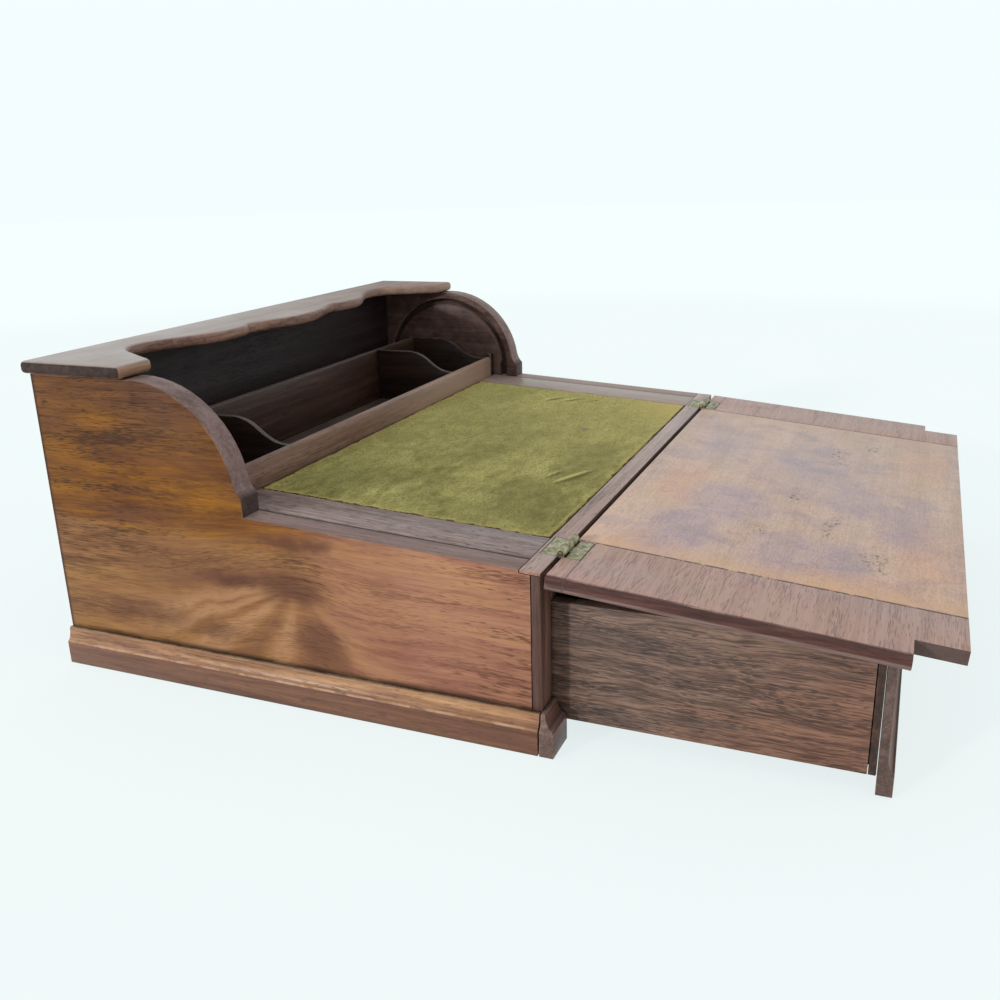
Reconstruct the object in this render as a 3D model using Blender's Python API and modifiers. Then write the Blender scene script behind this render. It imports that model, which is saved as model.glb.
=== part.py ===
"""Portable roll-top writing box, open for use: the drawer is out and the flap rests on it.

Metres, +Z up. The origin is the middle of the case's base and the case's front faces -Y.
Depths are measured from the front of the case towards its back.
"""

import math

import bmesh
import bpy
from mathutils import Matrix, Vector
from mathutils.geometry import interpolate_bezier

# Meshing
WELD = 1e-6
FLAT_ANGLE = math.radians(0.05)
SHARP_ANGLE = math.radians(40)

# Fits
GAP = 0.0003  # glue line or seat between two pieces that touch
RUN_CLEARANCE = 0.0005  # between a sliding slat and its groove
SWING_CLEARANCE = 0.0008  # between the turning curtain and what it passes

# Case
CASE_WIDTH = 0.346
CASE_DEPTH = 0.254
SIDE_HEIGHT = 0.148
SIDE_THICKNESS = 0.0125
LIPPING_THICKNESS = 0.004
BACK_THICKNESS = 0.008
BOTTOM_THICKNESS = 0.0088

# Quarter-round front of the sides, and the groove that the curtain runs in
ROLL_RADIUS = 0.0522
ROLL_RIM = 0.0042
ROLL_BACK_ROOM = 0.0015  # behind the curtain's ring
ROLL_LIFT = 0.0072  # roll's axis above the writing surface, under the quarter round's front
FOOT_ADVANCE = 0.0032  # upright foot under the quarter round, in front of it
FOOT_HEIGHT = 0.0086
FLARE_HEIGHT = 0.007  # hollow that leads from the quarter round out to its foot
GROOVE_SINK = 0.005
ARC_STEP = math.radians(6)
EDGE_STEP = math.radians(30)

# Top board with its scalloped front edge
TOP_THICKNESS = 0.006
TOP_OVERHANG = 0.003
TOP_REACH = 0.056  # from the horns' front to the case's back
TOP_ROUNDING = 0.0022
TOP_ROUNDING_STEPS = 4
TOP_ROUNDING_ANGLE = math.radians(60)
HORN_WIDTH = 0.0195
BAY_SETBACK = 0.037
BAY_TO_END = 0.0565
WALL_TO_END = 0.037
WALL_SETBACK = 0.025
CREST_SETBACK = 0.013
CUSP_OFFSET = 0.046
CUSP_SETBACK = 0.0235
LOBE_OFFSET = 0.068
LOBE_SETBACK = 0.0195
CREST_PULL = 0.45  # handles of the scallop's curves, as shares of the stretch that they shape
CUSP_PULL = 0.78
CUSP_TURN = 1.06
LOBE_PULL = 0.9
LOBE_REACH = 0.32
BAY_REACH = 0.36
BAY_TURN = 0.6
HORN_CUT = 0.33
HORN_EASE = 0.2
CURVE_POINTS = 7

# Plinth moulding
PLINTH_HEIGHT = 0.0187
PLINTH_FACE = 0.0116
PLINTH_FILLET = 0.0006
PLINTH_LEDGE = 0.002
PLINTH_SIDE_PROJECTION = 0.0045
PLINTH_FRONT_PROJECTION = 0.0063
COVE_FLARE = 0.35  # handles of the plinth's hollow, as shares of its reach and of its drop
COVE_DROP = 0.55
RETURN_LAP = 0.0006

# Writing surface
WRITING_SLOPE = math.radians(3.2)
CAP_DEPTH = 0.009
CAP_THICKNESS = 0.005
CAP_LAP = 0.0012  # thickness of the cap's ends, which lie over the sides
STILE_WIDTH = 0.0257
STILE_THICKNESS = 0.0075
PANEL_THICKNESS = 0.006
VELVET_THICKNESS = 0.001

# Pen and paper rack
RACK_FRONT_INSET = 0.0045  # rack's walls inside the curtain's ring, level with its axis
RACK_REAR_INSET = 0.0125
RACK_RAIL_RISE = 0.0072  # rail's top above the roll's axis
RACK_BACK_RISE = 0.0192
RACK_POST_RISE = 0.0097
RACK_BOARD = 0.0045
RACK_FLOOR = 0.0035
RACK_DIVIDER = 0.003
DIVIDER_OFFSET = 0.1
DIVIDER_FLAT = 0.024

# Roll-top curtain
SLAT_WIDTH = 0.0077
SLAT_THICKNESS = 0.0039
SLAT_EDGE = 0.0018
SLAT_END_PLAY = 0.0006
LEAD_WIDTH = 0.0095
CANVAS_THICKNESS = 0.0005
CANVAS_MARGIN = 0.003
CURTAIN_TOP = math.radians(8)
TAIL_CLEARANCE = 0.0105  # between the curtain's last slat and the stiles over it

# Flap
FLAP_THICKNESS = 0.0058
FLAP_OVERHANG = 0.0035
FLAP_DROOP = math.radians(5)
FLAP_NOSE_GAP = 0.0035
FLAP_RACK_GAP = 0.0025
FLAP_SIDE_PLAY = 0.0006
CLEAT_MARGIN = 0.001  # wood between a hinge leaf and the panel
NOSING = 0.0042
NOSING_QUIRK = 0.0005
FLAP_CORNER = 0.003

# Butt hinges
HINGE_LENGTH = 0.02
HINGE_INSET = 0.021
HINGE_SETBACK = 0.0012
LEAF_DEPTH = 0.0087
LEAF_THICKNESS = 0.0011
BARREL_RADIUS = 0.002
PIN_RADIUS = 0.0009
PIN_PLAY = 0.0003
PIN_RISE = 0.001
KNUCKLES = 3
ROUND_SIDES = 20

# Drawer
DRAWER_ENGAGED = 0.024  # what stays in the case when it is pulled out
DRAWER_PLAY = 0.001
DRAWER_FACE = 0.0036
DRAWER_FOOT_LIFT = 0.0008
DRAWER_BOX_FRONT = 0.003
DRAWER_SIDE = 0.006
DRAWER_BACK = 0.005
DRAWER_BOTTOM = 0.003
DRAWER_BOTTOM_LIFT = 0.0015
DRAWER_GROOVE = 0.0015  # the drawer's bottom is held this deep in its sides and front
DRAWER_BACK_DROP = 0.006
RAIL_PLAY = 0.0006
STOP_THICKNESS = 0.005
STOP_ADVANCE = 0.0015
STOP_PLAY = 0.002

# Places that follow from the sizes above
HALF_WIDTH = CASE_WIDTH / 2
INNER = HALF_WIDTH - SIDE_THICKNESS
FRONT = -CASE_DEPTH / 2
BACK_FACE = CASE_DEPTH - BACK_THICKNESS
TOP_FRONT_DEPTH = CASE_DEPTH - TOP_REACH
GROOVE_OUTER = ROLL_RADIUS - ROLL_RIM
ROLL_DEPTH = BACK_FACE - ROLL_BACK_ROOM - GROOVE_OUTER
ROLL_HEIGHT = SIDE_HEIGHT - ROLL_RADIUS
NOSE_DEPTH = ROLL_DEPTH - ROLL_RADIUS
FOOT_DEPTH = NOSE_DEPTH - FOOT_ADVANCE
WRITING_HEIGHT = ROLL_HEIGHT - ROLL_LIFT - NOSE_DEPTH * math.tan(WRITING_SLOPE)
GROOVE_INNER = GROOVE_OUTER - SLAT_THICKNESS - 2 * RUN_CLEARANCE
SLAT_INNER = GROOVE_INNER + RUN_CLEARANCE
CANVAS_OUTER = SLAT_INNER - GAP
CANVAS_INNER = CANVAS_OUTER - CANVAS_THICKNESS
TAIL_DROP = ROLL_LIFT + STILE_THICKNESS + TAIL_CLEARANCE
CURTAIN_TAIL = math.asin(TAIL_DROP / GROOVE_OUTER) - math.pi
RACK_REACH = CANVAS_INNER - SWING_CLEARANCE
RACK_FRONT_HALF = RACK_REACH - RACK_FRONT_INSET
RACK_REAR_HALF = RACK_REACH - RACK_REAR_INSET
RACK_FRONT = ROLL_DEPTH - RACK_FRONT_HALF
RACK_REAR = ROLL_DEPTH + RACK_REAR_HALF
RACK_BASE = ROLL_HEIGHT - math.sqrt(RACK_REACH**2 - max(RACK_FRONT_HALF, RACK_REAR_HALF) ** 2)
RACK_DECK = RACK_BASE + RACK_FLOOR
RAIL_TOP = ROLL_HEIGHT + RACK_RAIL_RISE
RACK_TOP = ROLL_HEIGHT + RACK_BACK_RISE
HINGE_MIDDLE = HALF_WIDTH - HINGE_INSET - HINGE_LENGTH / 2
STOP_DEPTH = RACK_FRONT - STOP_ADVANCE
DRAWER_OUTER = INNER - DRAWER_PLAY
DRAWER_REAR = STOP_DEPTH - STOP_PLAY
DRAWER_OPEN = DRAWER_REAR - DRAWER_ENGAGED
DRAWER_BASE = BOTTOM_THICKNESS + GAP
BOX_REAR = DRAWER_BOX_FRONT + GAP
SIDE_BEGIN = BOX_REAR + GAP


def surface(depth):
    """Height of the sloping writing surface at a depth."""
    return WRITING_HEIGHT + depth * math.tan(WRITING_SLOPE)


AXIS_DEPTH = -HINGE_SETBACK
AXIS_HEIGHT = surface(AXIS_DEPTH) + PIN_RISE / math.cos(WRITING_SLOPE)


def flap_underside(depth):
    """Height of the resting flap's underside at a depth."""
    run = (AXIS_DEPTH - depth) * math.tan(FLAP_DROOP)
    return AXIS_HEIGHT - run - (PIN_RISE + FLAP_THICKNESS) / math.cos(FLAP_DROOP)


DRAWER_TOP = flap_underside(-DRAWER_OPEN - DRAWER_FACE) - GAP
DRAWER_SIDE_TOP = flap_underside(SIDE_BEGIN - DRAWER_OPEN) - GAP
LEAF_POCKET = max(LEAF_THICKNESS, BARREL_RADIUS - PIN_RISE) + GAP
FLAP_HALF = HALF_WIDTH + FLAP_OVERHANG
CLEAT_WIDTH = FLAP_OVERHANG + HINGE_INSET + HINGE_LENGTH + CLEAT_MARGIN
TONGUE_HALF = INNER - FLAP_SIDE_PLAY
FLAP_SHOULDER = FOOT_DEPTH - FLAP_NOSE_GAP + HINGE_SETBACK
FLAP_END = RACK_FRONT - FLAP_RACK_GAP + HINGE_SETBACK

# Axes of a prism: its outline's two axes, then the way it is extruded
TURN = {
    "X": Matrix(((0, 0, 1, 0), (1, 0, 0, 0), (0, 1, 0, 0), (0, 0, 0, 1))),
    "Y": Matrix(((1, 0, 0, 0), (0, 0, -1, 0), (0, 1, 0, 0), (0, 0, 0, 1))),
    "Z": Matrix.Identity(4),
}


# Scene and materials

def start():
    for obj in list(bpy.data.objects):
        bpy.data.objects.remove(obj, do_unlink=True)
    for name in ("writing_box", "cutters"):
        bpy.context.scene.collection.children.link(bpy.data.collections.new(name))
    return bpy.data.collections["writing_box"], bpy.data.collections["cutters"]


def finish(name, colour, roughness, metallic=0.0):
    material = bpy.data.materials.new(name)
    material.use_nodes = True
    shader = material.node_tree.nodes["Principled BSDF"]
    shader.inputs["Base Color"].default_value = (*colour, 1)
    shader.inputs["Roughness"].default_value = roughness
    shader.inputs["Metallic"].default_value = metallic
    material.diffuse_color = (*colour, 1)
    return material


PARTS, CUTTERS = start()
WALNUT = finish("walnut_veneer", (0.27, 0.12, 0.045), 0.42)
EDGE = finish("purple_mahogany", (0.13, 0.075, 0.065), 0.5)
DARK = finish("dark_mahogany", (0.075, 0.035, 0.025), 0.5)
TOP = finish("faded_top", (0.25, 0.17, 0.145), 0.45)
DRAWER_WOOD = finish("drawer_walnut", (0.15, 0.085, 0.06), 0.55)
FLAP_WOOD = finish("bare_flap_wood", (0.34, 0.22, 0.14), 0.6)
INSIDE = finish("inside_wood", (0.05, 0.035, 0.03), 0.65)
VELVET = finish("olive_velvet", (0.23, 0.2, 0.03), 0.95)
CANVAS = finish("backing_canvas", (0.2, 0.16, 0.1), 0.9)
BRASS = finish("aged_brass", (0.45, 0.36, 0.18), 0.4, 1.0)


# Building blocks

def add_object(name, mesh, material, parent=None, collection=PARTS):
    obj = bpy.data.objects.new(name, mesh)
    collection.objects.link(obj)
    obj.parent = parent
    if material:
        mesh.materials.append(material)
    return obj


def add_empty(name, location, tilt=0.0):
    empty = bpy.data.objects.new(name, None)
    PARTS.objects.link(empty)
    empty.location = location
    empty.rotation_euler.x = tilt
    return empty


def outline_mesh(name, outline, axis, start_at, end_at):
    """Closed mesh of a flat outline, extruded along an axis between two places."""
    curve = bpy.data.curves.new(name, "CURVE")
    curve.dimensions = "2D"
    curve.fill_mode = "BOTH"
    curve.extrude = (end_at - start_at) / 2
    spline = curve.splines.new("POLY")
    spline.points.add(len(outline) - 1)
    for point, (across, up) in zip(spline.points, outline):
        point.co = (across, up, 0, 1)
    spline.use_cyclic_u = True
    guide = bpy.data.objects.new(name + "_outline", curve)
    CUTTERS.objects.link(guide)
    graph = bpy.context.evaluated_depsgraph_get()
    mesh = bpy.data.meshes.new_from_object(guide.evaluated_get(graph))
    bpy.data.objects.remove(guide, do_unlink=True)
    mesh.name = name
    middle = (start_at + end_at) / 2
    along = -middle if axis == "Y" else middle
    shape = bmesh.new()
    shape.from_mesh(mesh)
    bmesh.ops.remove_doubles(shape, verts=shape.verts, dist=WELD)
    bmesh.ops.dissolve_limit(
        shape, angle_limit=FLAT_ANGLE, verts=shape.verts, edges=shape.edges
    )
    bmesh.ops.transform(
        shape, verts=shape.verts, matrix=TURN[axis] @ Matrix.Translation((0, 0, along))
    )
    bmesh.ops.recalc_face_normals(shape, faces=shape.faces)
    shape.to_mesh(mesh)
    shape.free()
    mesh.materials.clear()
    return mesh


def prism(name, outline, axis, start_at, end_at, material, parent=None):
    mesh = outline_mesh(name, outline, axis, start_at, end_at)
    return add_object(name, mesh, material, parent)


def block_mesh(name, low, high):
    low, high = Vector(low), Vector(high)
    size = high - low
    shape = bmesh.new()
    bmesh.ops.create_cube(shape, size=1)
    matrix = Matrix.Translation((low + high) / 2) @ Matrix.Diagonal((*size, 1))
    bmesh.ops.transform(shape, verts=shape.verts, matrix=matrix)
    mesh = bpy.data.meshes.new(name)
    shape.to_mesh(mesh)
    shape.free()
    return mesh


def block(name, low, high, material, parent=None):
    return add_object(name, block_mesh(name, low, high), material, parent)


def rod_mesh(name, radius, start_at, end_at):
    """Round rod along X, on the X axis."""
    shape = bmesh.new()
    bmesh.ops.create_cone(
        shape,
        cap_ends=True,
        segments=ROUND_SIDES,
        radius1=radius,
        radius2=radius,
        depth=end_at - start_at,
    )
    turn = Matrix.Rotation(math.pi / 2, 4, "Y")
    place = Matrix.Translation(((start_at + end_at) / 2, 0, 0))
    bmesh.ops.transform(shape, verts=shape.verts, matrix=place @ turn)
    mesh = bpy.data.meshes.new(name)
    shape.to_mesh(mesh)
    shape.free()
    mesh.shade_smooth()
    mesh.set_sharp_from_angle(angle=SHARP_ANGLE)
    return mesh


def combine(obj, mesh, operation, parent=None):
    """Cut, join or intersect an object with a mesh, which is kept as a hidden cutter."""
    cutter = add_object(f"{obj.name}_{operation.lower()}", mesh, None, parent, CUTTERS)
    cutter.hide_render = True
    cutter.display_type = "WIRE"
    boolean = obj.modifiers.new(operation.title(), "BOOLEAN")
    boolean.operation = operation
    boolean.object = cutter
    boolean.solver = "EXACT"
    return cutter


def soften(obj, width, segments, angle):
    bevel = obj.modifiers.new("Rounding", "BEVEL")
    bevel.width = width
    bevel.segments = segments
    bevel.limit_method = "ANGLE"
    bevel.angle_limit = angle


def arc(centre, radius, begin, end, step=ARC_STEP):
    """Points on a round stretch, from one angle to another."""
    count = max(1, math.ceil(abs(end - begin) / step - WELD))
    angles = [begin + (end - begin) * i / count for i in range(count + 1)]
    return [
        (centre[0] + radius * math.cos(a), centre[1] + radius * math.sin(a))
        for a in angles
    ]


def bezier(start_at, handle_out, handle_in, end_at, points=CURVE_POINTS):
    """Points of one smooth stretch, without its last one."""
    knots = [Vector((*p, 0)) for p in (start_at, handle_out, handle_in, end_at)]
    return [(p.x, p.y) for p in interpolate_bezier(*knots, points)[:-1]]


def at(depth):
    return FRONT + depth


def moved(outline):
    """An outline in depth and height, moved to the case's place along Y."""
    return [(at(depth), height) for depth, height in outline]


# Case

def under_cap(depth):
    """Height of the sides where the ends of the cap lie over them."""
    return surface(depth) - CAP_LAP - GAP


def make_sides():
    front = LIPPING_THICKNESS + GAP
    step = CAP_DEPTH + GAP
    brow = surface(FOOT_DEPTH) + FOOT_HEIGHT
    turn = math.asin((brow + FLARE_HEIGHT - ROLL_HEIGHT) / ROLL_RADIUS)
    roll = arc((ROLL_DEPTH, ROLL_HEIGHT), ROLL_RADIUS, math.pi / 2, math.pi - turn)
    flare = bezier(
        roll[-1],
        (NOSE_DEPTH, brow + FLARE_HEIGHT / 2),
        (NOSE_DEPTH - FOOT_ADVANCE / 2, brow + FLARE_HEIGHT / 4),
        (FOOT_DEPTH, brow),
    )
    outline = [(front, 0), (CASE_DEPTH, 0), (CASE_DEPTH, SIDE_HEIGHT)]
    outline += roll + flare[1:]
    outline += [(FOOT_DEPTH, brow), (FOOT_DEPTH, surface(FOOT_DEPTH)), (step, surface(step))]
    outline += [(step, under_cap(step)), (front, under_cap(front))]
    lipping = [(0, 0), (LIPPING_THICKNESS, 0)]
    lipping += [(LIPPING_THICKNESS, under_cap(LIPPING_THICKNESS)), (0, under_cap(0))]
    groove = groove_outline()
    for side, hand in (("left", -1), ("right", 1)):
        outer, inner = sorted((hand * HALF_WIDTH, hand * INNER))
        board = prism(f"{side}_side", moved(outline), "X", outer, inner, WALNUT)
        floor = hand * (INNER + GROOVE_SINK)
        mouth = hand * (INNER - GROOVE_SINK)
        cut = outline_mesh(f"{side}_groove", moved(groove), "X", *sorted((floor, mouth)))
        combine(board, cut, "DIFFERENCE")
        prism(f"side_lipping_{side}", moved(lipping), "X", outer, inner, EDGE)


def groove_outline():
    """Track of the curtain: a ring round the roll's axis that drops straight to the surface."""
    centre = (ROLL_DEPTH, ROLL_HEIGHT)
    tail = CURTAIN_TAIL - SLAT_WIDTH / SLAT_INNER
    outer = arc(centre, GROOVE_OUTER, tail, math.pi)
    inner = arc(centre, GROOVE_INNER, math.pi, tail)
    drop = surface(ROLL_DEPTH - GROOVE_OUTER)
    legs = [(ROLL_DEPTH - GROOVE_OUTER, drop), (ROLL_DEPTH - GROOVE_INNER, drop)]
    return outer + legs + inner


def make_shell():
    span = INNER - GAP
    block(
        "bottom_board",
        (-span, at(2 * GAP), 0),
        (span, at(BACK_FACE - GAP), BOTTOM_THICKNESS),
        INSIDE,
    )
    block("back_panel", (-span, at(BACK_FACE), 0), (span, at(CASE_DEPTH), SIDE_HEIGHT), INSIDE)
    stop_top = ROLL_HEIGHT - GROOVE_OUTER - SWING_CLEARANCE
    block(
        "drawer_stop_board",
        (-span, at(STOP_DEPTH), BOTTOM_THICKNESS + GAP),
        (span, at(STOP_DEPTH + STOP_THICKNESS), stop_top),
        INSIDE,
    )


def make_top():
    """Scalloped board: a middle lobe, a lobe on each side of it, a bay and a square horn."""
    end = HALF_WIDTH + TOP_OVERHANG
    horn = end - HORN_WIDTH
    bay = (end - BAY_TO_END, BAY_SETBACK)
    wall = (end - WALL_TO_END, WALL_SETBACK)
    foot = (horn - HORN_WIDTH * HORN_CUT, HORN_WIDTH * HORN_CUT)
    crest = (0, CREST_SETBACK)
    cusp = (CUSP_OFFSET, CUSP_SETBACK)
    lobe = (LOBE_OFFSET, LOBE_SETBACK)
    reach = (wall[0] - bay[0]) * BAY_TURN
    run = bay[0] - lobe[0]
    slant = Vector((foot[0] - wall[0], foot[1] - wall[1])) / 3
    half = bezier(
        crest,
        (CUSP_OFFSET * CREST_PULL, CREST_SETBACK),
        (CUSP_OFFSET * CUSP_PULL, CUSP_SETBACK),
        cusp,
    )
    half += bezier(
        cusp,
        (CUSP_OFFSET * CUSP_TURN, LOBE_SETBACK),
        (LOBE_OFFSET * LOBE_PULL, LOBE_SETBACK),
        lobe,
    )
    half += bezier(
        lobe,
        (lobe[0] + LOBE_REACH * run, lobe[1]),
        (bay[0] - BAY_REACH * run, bay[1]),
        bay,
        2 * CURVE_POINTS,
    )
    half += bezier(bay, (bay[0] + reach, bay[1]), (wall[0] - slant.x, wall[1] - slant.y), wall)
    half += [wall]
    half += bezier(
        foot,
        (foot[0] + slant.x / 2, foot[1] + slant.y / 2),
        (horn - HORN_WIDTH * HORN_EASE, 0),
        (horn, 0),
    )
    half += [(horn, 0), (end, 0)]
    front = [(x, at(TOP_FRONT_DEPTH + setback)) for x, setback in half]
    back = at(CASE_DEPTH + TOP_OVERHANG)
    mirrored = [(-x, y) for x, y in reversed(front[1:])]
    outline = mirrored + front + [(end, back), (-end, back)]
    base = SIDE_HEIGHT + GAP
    board = prism("top_board", outline, "Z", base, base + TOP_THICKNESS, TOP)
    soften(board, TOP_ROUNDING, TOP_ROUNDING_STEPS, TOP_ROUNDING_ANGLE)


def plinth_section(projection):
    """Plinth's section as distance out from the wall and height: face, lip, hollow and ledge."""
    lip = (projection - PLINTH_FILLET, PLINTH_FACE + PLINTH_FILLET)
    brow = (PLINTH_LEDGE, PLINTH_HEIGHT - PLINTH_FILLET)
    reach, drop = lip[0] - brow[0], brow[1] - lip[1]
    hollow = bezier(
        lip,
        (lip[0] - COVE_FLARE * reach, lip[1]),
        (brow[0], brow[1] - COVE_DROP * drop),
        brow,
    )
    foot = [(0, 0), (projection, 0), (projection, PLINTH_FACE)]
    ledge = [brow, (PLINTH_LEDGE - PLINTH_FILLET, PLINTH_HEIGHT), (0, PLINTH_HEIGHT)]
    return foot + hollow + ledge


def make_plinth():
    flank = plinth_section(PLINTH_SIDE_PROJECTION)
    face = plinth_section(PLINTH_FRONT_PROJECTION)
    for side, hand in (("left", -1), ("right", 1)):
        wall = HALF_WIDTH + GAP
        across = [(hand * (wall + out), height) for out, height in flank]
        prism(f"plinth_{side}", across, "Y", at(GAP), at(CASE_DEPTH), WALNUT)
        ends = sorted((hand * (wall + PLINTH_SIDE_PROJECTION), hand * (INNER - RETURN_LAP)))
        section = [(FRONT - GAP - out, height) for out, height in face]
        corner = prism(f"plinth_return_{side}", section, "X", *ends, EDGE)
        inward = hand * (INNER - 2 * SIDE_THICKNESS)
        wrap = [(inward, 0)] + across[1:] + [(inward, PLINTH_HEIGHT)]
        reach = PLINTH_FRONT_PROJECTION
        trim = outline_mesh(f"{side}_mitre", wrap, "Y", FRONT - 2 * reach, FRONT + reach)
        combine(corner, trim, "INTERSECT")


# Writing surface and rack

def make_writing_surface():
    base = WRITING_HEIGHT - CAP_THICKNESS
    cap_outline = [(0, base), (CAP_DEPTH, base)]
    cap_outline += [(CAP_DEPTH, surface(CAP_DEPTH)), (0, WRITING_HEIGHT)]
    lap_outline = [(0, WRITING_HEIGHT - CAP_LAP), (CAP_DEPTH, surface(CAP_DEPTH) - CAP_LAP)]
    lap_outline += cap_outline[2:]
    span = INNER - GAP
    cap = prism("front_cap", moved(cap_outline), "X", -span, span, EDGE)
    lap = outline_mesh("cap_lap", moved(lap_outline), "X", -HALF_WIDTH, HALF_WIDTH)
    combine(cap, lap, "UNION")
    block(
        "front_rail",
        (-span, FRONT, DRAWER_SIDE_TOP + RAIL_PLAY),
        (span, at(CAP_DEPTH), base - GAP),
        EDGE,
    )
    front = CAP_DEPTH + GAP
    rear = RACK_FRONT - GAP

    def slab(drop, thickness):
        low = drop + thickness
        under = [(front, surface(front) - low), (rear, surface(rear) - low)]
        top = [(rear, surface(rear) - drop), (front, surface(front) - drop)]
        return moved(under + top)

    field = span - STILE_WIDTH
    for side, hand in (("left", -1), ("right", 1)):
        ends = sorted((hand * span, hand * field))
        prism(f"stile_{side}", slab(0, STILE_THICKNESS), "X", *ends, EDGE)
    inside = field - GAP
    sink = VELVET_THICKNESS + GAP
    prism("writing_panel", slab(sink, PANEL_THICKNESS), "X", -inside, inside, INSIDE)
    prism("writing_velvet", slab(0, VELVET_THICKNESS), "X", -inside, inside, VELVET)
    return cap


def ogee(front, rear, low, high):
    """Top edge of a divider: level at the back, then an S-shaped drop towards the front."""
    brow = rear - DIVIDER_FLAT
    reach = (brow - front) / 2
    drop = bezier(
        (brow, high), (brow - reach, high), (front + reach, low), (front, low), 2 * CURVE_POINTS
    )
    return [(rear, high)] + drop + [(front, low)]


def make_rack():
    span = INNER - GAP
    clear = span - RACK_BOARD - GAP
    inside_front = RACK_FRONT + RACK_BOARD + GAP
    inside_rear = RACK_REAR - RACK_BOARD - GAP
    rail = [
        (RACK_FRONT, RACK_BASE),
        (RACK_FRONT + RACK_BOARD, RACK_BASE),
        (RACK_FRONT + RACK_BOARD, RAIL_TOP - RACK_BOARD / 2),
    ]
    middle = (RACK_FRONT + RACK_BOARD / 2, RAIL_TOP - RACK_BOARD / 2)
    rail += arc(middle, RACK_BOARD / 2, 0, math.pi, EDGE_STEP)[1:]
    prism("rack_front", moved(rail), "X", -clear, clear, DARK)
    back = [
        (RACK_REAR - RACK_BOARD, RACK_BASE),
        (RACK_REAR, RACK_BASE),
        (RACK_REAR, RACK_TOP - RACK_BOARD / 2),
    ]
    middle = (RACK_REAR - RACK_BOARD / 2, RACK_TOP - RACK_BOARD / 2)
    back += arc(middle, RACK_BOARD / 2, 0, math.pi, EDGE_STEP)[1:]
    prism("rack_back", moved(back), "X", -clear, clear, DARK)
    block(
        "rack_floor",
        (-clear, at(inside_front), RACK_BASE),
        (clear, at(inside_rear), RACK_DECK),
        DARK,
    )
    low = RAIL_TOP - RACK_BOARD / 4
    divider = [(inside_front, RACK_DECK + GAP), (inside_rear, RACK_DECK + GAP)]
    divider += ogee(inside_front, inside_rear, low, RACK_TOP)
    post = ROLL_HEIGHT + RACK_POST_RISE
    foot = RACK_FRONT + RACK_BOARD
    end_board = [(RACK_FRONT, RACK_BASE), (RACK_REAR, RACK_BASE)]
    end_board += ogee(foot + RACK_BOARD, RACK_REAR, low, RACK_TOP)
    ease = RACK_BOARD / 4
    end_board += [(foot, low), (foot - ease, post)]
    end_board += [(RACK_FRONT + ease, post), (RACK_FRONT, post - ease)]
    for side, hand in (("left", -1), ("right", 1)):
        ends = sorted((hand * span, hand * (span - RACK_BOARD)))
        prism(f"rack_end_{side}", moved(end_board), "X", *ends, DARK)
        middle = hand * DIVIDER_OFFSET
        faces = (middle - RACK_DIVIDER / 2, middle + RACK_DIVIDER / 2)
        prism(f"rack_divider_{side}", moved(divider), "X", *faces, DARK)


# Roll-top curtain

def make_curtain():
    """Reeded slats and a leading rail on a canvas, all in a ring round the roll's axis."""
    axis = add_empty("curtain_axis", (0, at(ROLL_DEPTH), ROLL_HEIGHT))
    half_span = INNER + GROOVE_SINK - SLAT_END_PLAY
    lead_turn = 2 * math.atan(LEAD_WIDTH / 2 / SLAT_INNER)
    slat_turn = 2 * math.atan(SLAT_WIDTH / 2 / SLAT_INNER)
    spacing = GAP / SLAT_INNER
    lead = reed("tambour_lead_rail", LEAD_WIDTH, half_span, axis)
    lead.rotation_euler.x = CURTAIN_TOP - lead_turn / 2
    pitch = slat_turn + spacing
    first = CURTAIN_TOP - lead_turn - spacing
    count = int((first - CURTAIN_TAIL) / pitch)
    for index in range(count):
        slat = reed(f"tambour_slat_{index + 1:02d}", SLAT_WIDTH, half_span, axis)
        slat.rotation_euler.x = first - slat_turn / 2 - index * pitch
    tail = first - count * pitch
    outer = arc((0, 0), CANVAS_OUTER, tail, CURTAIN_TOP)
    inner = arc((0, 0), CANVAS_INNER, CURTAIN_TOP, tail)
    reach = INNER - CANVAS_MARGIN
    prism("tambour_canvas", outer + inner, "X", -reach, reach, CANVAS, axis)


def reed(name, width, half_span, axis):
    """One slat, standing at angle 0: flat towards the axis, rounded on its show face."""
    rise = SLAT_THICKNESS - SLAT_EDGE
    half = width / 2
    crown = [
        (SLAT_INNER + SLAT_EDGE + rise * math.sin(a), half * math.cos(a))
        for a in [math.pi * i / CURVE_POINTS for i in range(CURVE_POINTS + 1)]
    ]
    outline = [(SLAT_INNER, -half)] + crown[::-1] + [(SLAT_INNER, half)]
    return prism(name, outline, "X", -half_span, half_span, DARK, axis)


# Flap and its hinges

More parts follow.
